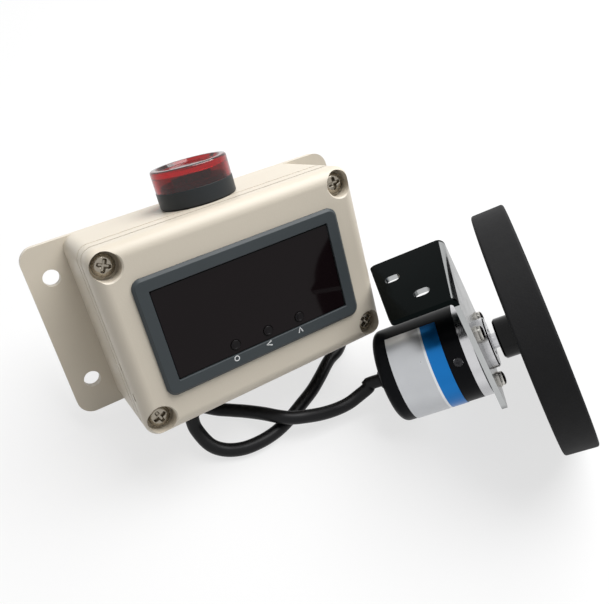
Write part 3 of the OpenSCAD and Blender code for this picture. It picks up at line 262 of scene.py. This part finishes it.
to_coil = [bush_tip, bush_tip - lead_d * shaft_dir, *front_route, coil_mid + [-coil_out, -lead_d, coil_z]]
to_box = [coil_mid + [coil_out, -lead_d, coil_z + coil_pitch], *loop_route, grommet_tip - lead_d * up_dir, grommet_tip]
cord_path = np.concatenate([
    smooth_route(to_coil, route_steps), coil_route(turn_steps), smooth_route(to_box, route_steps)])
cord_rings, cord_laid = tube(cord_path, lead_d / 2, -shaft_dir, up_dir)
sheath = finish("black lead sheath", tone(17, 17, 19), 0.4, colour_play=0.12, patch=70, roughness_play=0.07,
    grain=900, depth=3e-5, stretch=(0.12, 1, 1), follows="laid", Specular_IOR_Level=0.2)
lead = piece("sensor_lead", [(cord_rings - middle) / 1000], sheath,
    replaces=("lead_front", "lead_coil", "lead_loop"), laid=cord_laid)


# ---- Ties round the coil ----
# Three grey hook tapes hold the coil's two layers together. Each is a flat band, carried round the bundle as a
# rectangle with rounded corners, and has a folded pull tab at its outer end.
tie_t, tie_w, tie_gap, tie_corner, tie_edge = 0.8, 4, 0.1, 1.5, 0.2
tab_w, tab_h, tab_fold, tab_lip, tab_corner, tab_edge = 3, 4, 1.5, 0.5, 0.5, 0.4
tab_out, tab_up = 1.9, 0.5
tie_angles = (90, 235, 305)
tie_in, tie_out = coil_in - lead_d / 2 - tie_gap, coil_out + lead_d / 2 + tie_gap
tie_h = coil_pitch + lead_d + 2 * tie_gap


def eased(corners, steps=4):
    """Profile through corners (x, y, radius). An arc of that radius, which touches both sides, rounds each corner."""
    p, out = np.array(corners, float), []
    for k, (x, y, radius) in enumerate(p):
        here = np.array([x, y])
        if radius == 0 or k in (0, len(p) - 1):
            out.append(here[None])
            continue
        a, b = p[k - 1, :2] - here, p[k + 1, :2] - here
        a, b = a / np.linalg.norm(a), b / np.linalg.norm(b)
        half = math.acos(np.clip(a @ b, -1, 1)) / 2
        centre = here + (a + b) / np.linalg.norm(a + b) * radius / math.sin(half)
        start, end = (here + side * radius / math.tan(half) - centre for side in (a, b))
        sweep, t = math.pi - 2 * half, np.linspace(0, 1, steps + 1)[:, None]
        out.append(centre + (np.sin((1 - t) * sweep) * start + np.sin(t * sweep) * end) / math.sin(sweep))
    return np.concatenate(out)


def framed(profile, width, height, corner, spot, steps=8, least=0.02):
    """A profile of (inset, level) pairs carried round a rectangle: at inset i the rectangle is smaller by i on every
    side, its corner radius is corner - i but never under least, and it lies at the pair's level."""
    inset, level = np.array(profile).T[:, :, None]
    quarter = np.linspace(0, math.pi / 2, steps + 1)
    a = np.concatenate([quarter + k * math.pi / 2 for k in range(4)])
    sx, sy = (np.repeat(signs, steps + 1) for signs in ([1, -1, -1, 1], [1, 1, -1, -1]))
    r = np.minimum(np.maximum(corner - inset, least), np.minimum(width, height) / 2 - inset)
    x = sx * (width / 2 - inset - r) + r * np.cos(a)
    y = sy * (height / 2 - inset - r) + r * np.sin(a)
    return placed(np.stack(np.broadcast_arrays(x, y, level), -1), spot)


def turn(axis, degrees):
    """A turn of that many degrees about an axis, as a 4 by 4 matrix."""
    return Matrix.Rotation(math.radians(degrees), 4, axis)


def shift(x, y, z):
    """A move by x, y and z millimetres, as a 4 by 4 matrix."""
    return Matrix.Translation((x, y, z))


band_profile = eased([(0, tie_w / 2, 0), (0, tie_w, tie_edge), (tie_t, tie_w, tie_edge), (tie_t, 0, tie_edge),
    (0, 0, tie_edge), (0, tie_w / 2, 0)], 2)
tab_profile = eased([(tab_fold, -tab_lip, 0), (0, -tab_lip, tab_edge), (0, tie_w + tab_lip, tab_edge),
    (tab_fold, tie_w + tab_lip, 0)], 3)
bands = []
for angle in tie_angles:
    spot = (shift(*coil_mid) @ turn("Z", angle) @ turn("X", 90)
        @ shift((tie_in + tie_out) / 2, tie_h / 2 + tie_t, -tie_w / 2))
    bands.append(framed(band_profile, tie_out - tie_in + 2 * tie_t, tie_h + 2 * tie_t, tie_corner, spot))
    tab_spot = spot @ shift((tie_out - tie_in) / 2 + tab_out, tab_up, 0)
    bands.append(framed(tab_profile, tab_w, tab_h, tab_corner, tab_spot))
tie_cloth = finish("grey tie tape", tone(88, 88, 90), 0.9, colour_play=0.15, patch=900, grain=5000, depth=6e-5)
ties = piece("coil_ties", bands, tie_cloth, replaces=("lead_ties",))


# ---- Grommet and bush of the lead ----
# Moulded rubber sleeves with rings, that hold the lead where it leaves the box and the encoder.
# Both profiles are corners (radius, height, rounding) from the blind end, over the rings and into the lead's bore.
box_h = 69
box_spot = shift(0, 0, box_rise) @ turn("X", 90 - box_lean) @ shift(0, box_h / 2, 0)
shaft_spot = shift(*wheel_middle) @ turn("Z", -shaft_turn) @ turn("Y", 90 - shaft_tilt)
grommet_spot = box_spot @ shift(grommet_x, -box_h / 2, grommet_z) @ turn("X", 90)
sleeve_bore, sleeve_steps = 2.72, 48
rubber = finish("black rubber", tone(22, 22, 23), 0.6, colour_play=0.1, patch=120, grain=2600, depth=2e-5,
    Specular_IOR_Level=0.2)


def turned(profile, spot, steps=96):
    """A profile of (radius, height) pairs carried round the Z axis of spot: radius cos a, radius sin a, height."""
    radius, height = np.array(profile).T[:, :, None]
    a = np.linspace(0, 2 * math.pi, steps, endpoint=False)
    return placed(np.stack(np.broadcast_arrays(radius * np.cos(a), radius * np.sin(a), height), -1), spot)


grommet_profile = eased([
    (0, -4, 0), (5, -4, 0.4), (5, -2.5, 0.1), (4, -2.5, 0.1), (4, 0, 0.1), (5.5, 0, 0.1), (5.5, 1.5, 0.5),
    (4.45, 1.5, 0.2), (4.3, 2.5, 0.1), (3.9, 2.6, 0.1), (3.9, 3.1, 0.1), (4.05, 3.2, 0.1), (3.85, 4.4, 0.1),
    (3.5, 4.5, 0.1), (3.5, 5, 0.1), (3.65, 5.1, 0.1), (3.3, grommet_l, 0.2), (sleeve_bore, grommet_l, 0),
    (sleeve_bore, 5, 0), (0, 5, 0),
])
piece("lead_grommet_rubber", [turned(grommet_profile, grommet_spot, sleeve_steps)], rubber,
    replaces=("lead_grommet",))
bush_profile = eased([
    (0, -55.4, 0), (5, -55.4, 0.2), (5, -56.6, 0.1), (3.98, -56.6, 0.1), (3.98, -59, 0.1), (4.6, -59.02, 0.1),
    (4.3, -60.1, 0.1), (3.9, -60.2, 0.1), (3.9, -60.7, 0.1), (4.1, -60.8, 0.1), (3.6, -62.9, 0.3),
    (sleeve_bore, -bush_reach, 0), (sleeve_bore, -61, 0), (0, -61, 0),
])
piece("encoder_bush_rubber", [turned(bush_profile, shaft_spot, sleeve_steps)], rubber,
    replaces=("encoder_bush",))


# ---- Box ----
# Base with its wall plate and lid, both moulded in ivory plastic with a fine sparked texture, and the dark rubber
# seal that shows as a line between them.
ivory = finish("ivory moulded plastic", tone(214, 205, 189), 0.42, colour_play=0.025, patch=22, roughness_play=0.06,
    grain=1500, depth=2.5e-5, Specular_IOR_Level=0.45)
gasket_rubber = finish("dark seam rubber", tone(52, 51, 50), 0.75, colour_play=0.1, patch=90, grain=2200, depth=2e-5)


def dressed(name, material):
    """Gives a node of the model its finish, in place of the one it came with."""
    materials = nodes[name].data.materials
    materials.clear()
    materials.append(material)


dressed("enclosure_base", ivory)
dressed("enclosure_lid", ivory)
dressed("lid_gasket", gasket_rubber)


# ---- Lid screws ----
# Four nickel plated pan heads with a pressed cross, deep in wells at the lid's corners. Their nickel is toned darker
# and browner as painted shade of the wells. Each is turned a little differently, as hand driven screws are.
lid_screw_x, lid_screw_y, lid_screw_seat = 44.2, 28.4, 43.5
lid_shank_r, lid_shank_l, lid_head_r, lid_head_t = 2, 16, 3.9, 2.8
# Darker and browner than the bright nickel of the bracket screws: this is painted shade of the deep wells.
nickel = finish("nickel plate", tone(150, 143, 131), 0.26, colour_play=0.08, patch=500, roughness_play=0.1,
    grain=3200, depth=8e-6, Metallic=1.0)


def cross_screw(shank_r, shank_l, head_r, head_t, spot, rows=22, steps=72):
    """A shank and a pan head. Over the head the height is head_t (1 - dome (r / head_r)^4), less a cross. In shares
    of head_r an arm reaches arm_l from the middle and arm_w to each side, and its walls slope over end and wall.
    Its depth is the share cut of head_t in the middle, and half as much would be left at the rim."""
    dome, arm_w, wall, arm_l, end, cut = 0.4, 0.17, 0.07, 0.62, 0.16, 0.62
    side = eased([(0, -shank_l, 0), (shank_r, -shank_l, 0.2), (shank_r, 0, 0.1), (head_r, 0, 0.15),
        (head_r, head_t * 0.5, 0)], 3)
    r = np.concatenate([side[:, 0], np.linspace(head_r, 0, rows)])
    a = np.linspace(0, 2 * math.pi, steps, endpoint=False)
    x, y = r[:, None] * np.cos(a), r[:, None] * np.sin(a)
    top = head_t * (1 - dome * (r / head_r) ** 4)
    arms = [np.clip((arm_w - np.abs(v) / head_r) / wall, 0, 1) * np.clip((arm_l - np.abs(u) / head_r) / end, 0, 1)
        * (1 - 0.5 * np.abs(u) / head_r) for u, v in ((x, y), (y, x))]
    level = np.broadcast_to(top[:, None], x.shape) - head_t * cut * np.maximum(*arms)
    on_side = (np.arange(len(r)) < len(side))[:, None]
    level = np.where(on_side, np.append(side[:, 1], r[len(side):])[:, None], level)
    return placed(np.stack([x, y, level], -1), spot)


lid_screws = [cross_screw(lid_shank_r, lid_shank_l, lid_head_r, lid_head_t,
    box_spot @ shift(x * lid_screw_x, y * lid_screw_y, lid_screw_seat) @ turn("Z", angle))
    for x, y, angle in ((-1, -1, 20), (-1, 1, 62), (1, -1, 38), (1, 1, 5))]
piece("lid_screw_heads", lid_screws, nickel, replaces=("lid_screws",), sharp=35)


# ---- Meter bezel ----
# Slate coloured frame of the panel meter, with a bevelled rim and a lip that the window sits behind. Its profile is
# corners (inset, level, rounding) from the rim's foot over its face, down the opening and round the body's wall.
bezel_w, bezel_h, bezel_corner = 79, 43, 3.5
lid_face, bezel_face, body_back = 50, 51.6, 28
lip_in, lip_front, lip_back, body_in, wall_in = 6, 49, 48, 1.5, 3.3
slate = finish("slate moulded plastic", tone(58, 64, 67), 0.46, colour_play=0.05, patch=60, grain=1700, depth=2e-5,
    Specular_IOR_Level=0.3)
bezel_profile = eased([
    (0, 50.1, 0), (0, 50.7, 0.15), (1, bezel_face, 0.25), (5, bezel_face, 0.3), (5.1, lip_front, 0),
    (lip_in, lip_front, 0), (lip_in, lip_back, 0), (wall_in, lip_back, 0), (wall_in, body_back, 0),
    (body_in, body_back, 0), (body_in, lid_face, 0), (0, lid_face, 0), (0, 50.1, 0),
])
piece("meter_bezel", [framed(bezel_profile, bezel_w, bezel_h, bezel_corner, box_spot)], slate,
    replaces=("meter_case",))


# ---- Window, buttons and their marks ----
# A smoked acrylic pane, three round black caps that stand in its holes, and a white mark printed on the bezel under
# each: a ring, a chevron to the left and one that points up.
button_x, button_pitch, button_y = 1.4, 13.2, -13
cap_r, cap_back, cap_face = 1.8, 39.7, 51.5
mark_x, mark_y, stroke_w, ink_t = (-12.9, 0.3, 13.5), -17.75, 0.5, 0.03
ring_r, ring_in, round_steps = 1.05, 0.7, 40
smoked = finish("smoked acrylic", tone(19, 12, 14), 0.07, colour_play=0.1, patch=12, roughness_play=0.02, grain=300,
    depth=2e-6, Specular_IOR_Level=0.13)
dressed("display_window", smoked)
cap_plastic = finish("black button caps", tone(17, 14, 16), 0.3, colour_play=0.1, patch=400, grain=3000, depth=1e-5,
    Specular_IOR_Level=0.15)
cap_profile = eased([(0, cap_back, 0), (cap_r, cap_back, 0.2), (cap_r, cap_face, 0.25), (1.3, cap_face, 0.2),
    (1.1, 51.35, 0.2), (0, 51.3, 0)])
for k, name in ((-1, "set_button"), (0, "shift_button"), (1, "up_button")):
    spot = box_spot @ shift(button_x + button_pitch * k, button_y, 0)
    piece(name + "_cap", [turned(cap_profile, spot, round_steps)], cap_plastic, body=name, replaces=(name,))


def printed(corners, width, level, height, spot):
    """A flat printed stroke through corners: each cross section is a low box, width wide, across the stroke's way."""
    p = np.array(corners, float)
    way = np.gradient(p, axis=0)
    way /= np.linalg.norm(way, axis=1)[:, None]
    across = np.stack([-way[:, 1], way[:, 0]], -1) * width / 2
    rings = np.stack([np.column_stack([p + side * across, np.full(len(p), level + rise)])
        for side, rise in ((-1, 0), (1, 0), (1, height), (-1, height))], 1)
    ends = [np.repeat(rings[k].mean(0)[None, None], 4, 1) for k in (0, -1)]
    return placed(np.concatenate([ends[0], rings, ends[1]]), spot)


mark_ink = finish("white printing ink", tone(226, 228, 228), 0.55, colour_play=0.04, patch=700, grain=4000, depth=4e-6)
ring_mark = [(ring_r, bezel_face), (ring_r, bezel_face + ink_t), (ring_in, bezel_face + ink_t),
    (ring_in, bezel_face), (ring_r, bezel_face)]
chevrons = [(1.0, 0.85), (-1.05, 0), (1.0, -0.85)], [(-0.85, -0.95), (0, 1.0), (0.85, -0.95)]
marks = [turned(ring_mark, box_spot @ shift(mark_x[0], mark_y, 0), round_steps)]
for x, corners in zip(mark_x[1:], chevrons):
    marks.append(printed(corners, stroke_w, bezel_face, ink_t, box_spot @ shift(x, mark_y, 0)))
piece("button_marks", marks, mark_ink)


# ---- Beacon ----
# A panel lamp: a black base with a rubber washer, and a clear red cap with a dished top over the lamp's core. Both
# profiles are corners (radius, height, rounding), and heights are from the box's top side.
beacon_z, lens_r, lens_top, lens_seat, lens_in, lens_roof = 22, 14.4, 14.5, 6.5, 13, 11.9
dish_r, dish_floor_r, dish_z = 12.2, 11.2, 13.3
base_r, base_foot, base_top, collar_r = 14.5, 0.5, 8, 12.5
shank_r, shank_in, shank_end, shank_roof = 11, 9.2, -12, 4.5
beacon_spot = box_spot @ shift(0, box_h / 2, beacon_z) @ turn("X", -90)
beacon_black = finish("dark beacon plastic", tone(34, 38, 41), 0.46, colour_play=0.06, patch=90, grain=1800,
    depth=2e-5, Specular_IOR_Level=0.3)
base_profile = eased([
    (0, shank_roof, 0), (shank_in, shank_roof, 0.2), (shank_in, shank_end, 0), (shank_r, shank_end, 0.3),
    (shank_r, base_foot, 0), (base_r, base_foot, 0.2), (base_r, lens_seat, 0.15), (collar_r, lens_seat, 0),
    (collar_r, base_top, 0.2), (0, base_top, 0),
])
piece("beacon_base_moulding", [turned(base_profile, beacon_spot)], beacon_black, replaces=("beacon_base",))
red = finish("clear red plastic", tone(160, 5, 12), 0.1, colour_play=0.03, patch=90, roughness_play=0.03, grain=260,
    depth=2e-5, Transmission_Weight=1.0, IOR=1.49, Specular_IOR_Level=0.25)
lens_profile = eased([
    (0, lens_roof, 0), (lens_in, lens_roof, 0.4), (lens_in, lens_seat, 0), (lens_r, lens_seat, 0),
    (lens_r, lens_top, 0.9), (dish_r, lens_top, 0.3), (dish_floor_r, dish_z, 0.3), (0, dish_z, 0),
])
piece("beacon_lens_cap", [turned(lens_profile, beacon_spot, 128)], red, replaces=("beacon_lens",))
dressed("beacon_lamp", finish("dark lamp core", tone(16, 9, 10), 0.4, colour_play=0.1, patch=200))
dressed("beacon_gasket", rubber)
dressed("beacon_nut", beacon_black)


# ---- Encoder ----
# A black anodised cup with blackened screws in its wall, over a turned aluminium flange with its bearing boss, and a
# ground steel shaft. A printed foil label goes round the cup: a blue band, a white line and plain silver.
anodised = finish("black anodised aluminium", tone(17, 18, 21), 0.36, colour_play=0.06, patch=60, grain=1400,
    depth=1.2e-5, Specular_IOR_Level=0.06)
aluminium = finish("turned aluminium", tone(205, 205, 207), 0.24, colour_play=0.05, patch=160, roughness_play=0.06,
    grain=900, depth=4e-6, Metallic=1.0)
steel = finish("ground steel", tone(200, 200, 203), 0.2, colour_play=0.05, patch=500, grain=2600, depth=6e-6,
    Metallic=1.0)
blackened = finish("blackened case screws", tone(44, 44, 47), 0.3, colour_play=0.08, patch=500, grain=3000,
    depth=8e-6, Metallic=0.6)
dressed("encoder_case", anodised)
dressed("encoder_flange", aluminium)
dressed("encoder_shaft", steel)
dressed("case_screws", blackened)


def along(material, direction, start, end, stops):
    """Colours of a material that change along a direction: the distance of a point along it from start to end, in
    metres, picks one of the stops, each a share of the way at which its colour begins."""
    tree = material.node_tree
    place, way, ramp = (tree.nodes.new("ShaderNode" + kind) for kind in ("TexCoord", "MapRange", "ValToRGB"))
    reach = worked(tree, "VectorMath", "DOT_PRODUCT", place.outputs["Object"], direction)
    way.inputs["From Min"].default_value, way.inputs["From Max"].default_value = start, end
    ramp.color_ramp.interpolation = "CONSTANT"
    for k, (share, colour) in enumerate(stops):
        stop = ramp.color_ramp.elements[k] if k < 2 else ramp.color_ramp.elements.new(share)
        stop.position, stop.color = share, colour
    tree.links.new(reach, way.inputs["Value"])
    tree.links.new(way.outputs["Result"], ramp.inputs["Fac"])
    tree.links.new(ramp.outputs["Color"], tree.nodes["surface_play"].inputs["Colour"])


label_front, label_w, line_from, silver_from = 32.3, 20.6, 0.3, 0.34
label_blue, label_white, label_silver = tone(12, 118, 196), tone(235, 238, 240), tone(205, 207, 210)
foil = finish("printed foil", label_silver, 0.3, colour_play=0.05, patch=120, grain=1500, depth=4e-6, Metallic=0.7)
label_end = float((wheel_middle - middle) @ shaft_dir) / 1000
along(foil, tuple(-shaft_dir), label_front / 1000 - label_end, (label_front + label_w) / 1000 - label_end,
    ((0, label_blue), (line_from, label_white), (silver_from, label_silver)))
dressed("encoder_label", foil)


# ---- Bracket ----
# One stainless sheet bent to an L, held by three screws with washers. The slotted leg is painted near black, also on
# its side edges, as a painted dark reflection on its polish. The plate and the walls of the slots are bright.
leg_normal, across_leg = (-0.283, 0.463, 0.840), (-0.578, -0.781, 0.236)
leg_from, leg_half, flat_limit = 0.0355, 0.0205, 0.9
# The bright tone is the steel's own colour. The near black tone is a painted reflection of dark surroundings on the
# leg.
leg_bright, leg_painted_reflection = tone(178, 180, 180), tone(14, 18, 18)
stainless = finish("polished stainless sheet with painted leg reflection", leg_bright, 0.16, colour_play=0.14, patch=45, roughness_play=0.06,
    grain=120, depth=3e-5, Metallic=1.0, Specular_Tint=(0.6, 0.6, 0.6, 1))
# The painted dark reflection covers the part that is higher above the shaft than leg_from, and that either faces along
# the leg's normal or lies further than leg_half to the side, in metres.
tree = stainless.node_tree
facing = tree.nodes.new("ShaderNodeNewGeometry").outputs["True Normal"]
place = tree.nodes.new("ShaderNodeTexCoord").outputs["Object"]
shaft_middle = (wheel_middle - middle) / 1000
flatness = worked(tree, "Math", "ABSOLUTE", worked(tree, "VectorMath", "DOT_PRODUCT", facing, leg_normal))
sideways = worked(tree, "Math", "SUBTRACT", worked(tree, "VectorMath", "DOT_PRODUCT", place, across_leg),
    float(shaft_middle @ across_leg))
height = worked(tree, "VectorMath", "DOT_PRODUCT", place, leg_normal)
flat = worked(tree, "Math", "GREATER_THAN", flatness, flat_limit)
wide = worked(tree, "Math", "GREATER_THAN", worked(tree, "Math", "ABSOLUTE", sideways), leg_half)
high = worked(tree, "Math", "GREATER_THAN", height, float(shaft_middle @ leg_normal) + leg_from)
# dark marks where the painted reflection goes.
dark = worked(tree, "Math", "MULTIPLY", worked(tree, "Math", "MAXIMUM", flat, wide), high)
pick = tree.nodes.new("ShaderNodeMix")
pick.data_type = "RGBA"
pick.inputs["A"].default_value, pick.inputs["B"].default_value = leg_bright, leg_painted_reflection
tree.links.new(dark, pick.inputs["Factor"])
tree.links.new(pick.outputs["Result"], tree.nodes["surface_play"].inputs["Colour"])
dressed("bracket", stainless)

bolt_ring, bolt_seat = 15, -18.4
bolt_shank_r, bolt_shank_l, bolt_head_r, bolt_head_t = 1.5, 6.6, 2.8, 2
bright_nickel = finish("bright nickel plate", tone(206, 203, 197), 0.2, colour_play=0.08, patch=500,
    roughness_play=0.1, grain=3200, depth=8e-6, Metallic=1.0)
bracket_screws = [cross_screw(bolt_shank_r, bolt_shank_l, bolt_head_r, bolt_head_t,
    shaft_spot @ turn("Z", angle) @ shift(bolt_ring, 0, bolt_seat) @ turn("Z", twist))
    for angle, twist in ((80.2, 12), (200.2, 50), (320.2, 31))]
piece("bracket_screw_heads", bracket_screws, bright_nickel, replaces=("bracket_screws",),
    sharp=35)
dressed("bracket_washers", bright_nickel)


# ---- Measuring wheel ----
# A black aluminium core with its hub, and a matte black rubber tread bonded round it. A steel set screw in the hub
# holds the wheel on the encoder's shaft.
core_black = finish("glossy black core", tone(12, 12, 13), 0.16, colour_play=0.08, patch=50, grain=900, depth=6e-6,
    Specular_IOR_Level=0.2)
tread_rubber = finish("matte tread rubber", tone(23, 23, 24), 0.74, colour_play=0.08, patch=90, grain=1500, depth=5e-5,
    Specular_IOR_Level=0.2)
dressed("wheel_core", core_black)
dressed("wheel_tread", tread_rubber)
dressed("wheel_set_screw", steel)


# ---- Inside pieces and the supply gland ----
# Boards, digits, terminals, relay, bearings and code disc, which the housings hide, and the gland on the right side.
# The moulded ones share a grain and differ in colour.
board_green = finish("green board lacquer", tone(22, 82, 48), 0.4, colour_play=0.12, patch=300, grain=1500, depth=2e-5)
moulded = {"patch": 120, "grain": 1900, "depth": 2e-5}
black_plastic = finish("black moulded plastic", tone(34, 34, 36), 0.45, colour_play=0.08, **moulded)
grey_plastic = finish("grey moulded plastic", tone(120, 120, 122), 0.5, colour_play=0.06, **moulded)
green_plastic = finish("green terminal plastic", tone(40, 130, 74), 0.45, colour_play=0.06, **moulded)
blue_plastic = finish("blue relay plastic", tone(36, 74, 160), 0.42, colour_play=0.06, **moulded)
for material, names in (
        (board_green, ("display_board", "meter_board", "supply_board", "encoder_board")),
        (black_plastic, ("pin_headers", "supply_gland", "supply_gland_nut", "optical_reader", "filter_capacitor")),
        (grey_plastic, ("digit_block", "meter_clips")),
        (green_plastic, ("meter_terminals", "terminal_block")),
        (blue_plastic, ("relay",)),
        (rubber, ("supply_gland_seal",)),
        (nickel, ("board_screws", "button_switches")),
        (aluminium, ("disc_hub", "board_pillars")),
        (steel, ("bearing_outer_rings", "bearing_inner_rings", "bearing_balls", "code_disc"))):
    for name in names:
        dressed(name, material)


# ---- Table and light ----
# A plain pale table just under the object, a wide soft lamp nearly overhead, and an even pale surrounding. The table
# looks near white in the picture and in reflections, and keeps the object's shadow. Lengths here are in metres.
table_half, table_z, table_glow = 4, -5e-5, 0.7
lamp_place, lamp_size, lamp_watts = (0.4, 0.15, 0.95), 0.9, 16.3
even_strength, white_strength = 0.2, 1.0
table = bpy.data.meshes.new("table")
table.from_pydata([(x * table_half, y * table_half, table_z) for x, y in ((-1, -1), (1, -1), (1, 1), (-1, 1))], [],
    [(0, 1, 2, 3)])
table_top = bpy.data.objects.new("table", table)
table_paint = finish("pale table", tone(232, 232, 232), 0.9, colour_play=0.005, patch=3, depth=0)
table.materials.append(table_paint)
bpy.context.scene.collection.objects.link(table_top)
lamp = bpy.data.lights.new("top lamp", "AREA")
lamp.shape, lamp.size, lamp.energy = "SQUARE", lamp_size, lamp_watts
lamp_object = bpy.data.objects.new("top lamp", lamp)
lamp_object.location = lamp_place
lamp_object.rotation_euler = (-Vector(lamp_place)).to_track_quat("-Z", "Y").to_euler()
bpy.context.scene.collection.objects.link(lamp_object)
world = bpy.data.worlds.new("surrounding")
world.use_nodes = True
bpy.context.scene.world = world
even, white = world.node_tree.nodes["Background"], world.node_tree.nodes.new("ShaderNodeBackground")
for sky, strength in ((even, even_strength), (white, white_strength)):
    sky.inputs["Color"].default_value, sky.inputs["Strength"].default_value = (1, 1, 1, 1), strength


def seen_white(tree, plain, bright, share, out):
    """Mixes share of the bright shader into the plain one for rays of the camera, of reflections and through glass."""
    path, mixed = tree.nodes.new("ShaderNodeLightPath").outputs, tree.nodes.new("ShaderNodeMixShader")
    either = worked(tree, "Math", "MAXIMUM", path["Is Camera Ray"], path["Is Glossy Ray"])
    seen = worked(tree, "Math", "MAXIMUM", either, path["Is Transmission Ray"])
    part = worked(tree, "Math", "MULTIPLY", seen, share)
    for source, target in ((part, mixed.inputs[0]), (plain.outputs[0], mixed.inputs[1]),
            (bright.outputs[0], mixed.inputs[2]), (mixed.outputs[0], out.inputs["Surface"])):
        tree.links.new(source, target)


seen_white(world.node_tree, even, white, 1, world.node_tree.nodes["World Output"])
paint_tree = table_paint.node_tree
glow = paint_tree.nodes.new("ShaderNodeEmission")
glow.inputs["Strength"].default_value = white_strength
seen_white(paint_tree, paint_tree.nodes["Principled BSDF"], glow, table_glow, paint_tree.nodes["Material Output"])
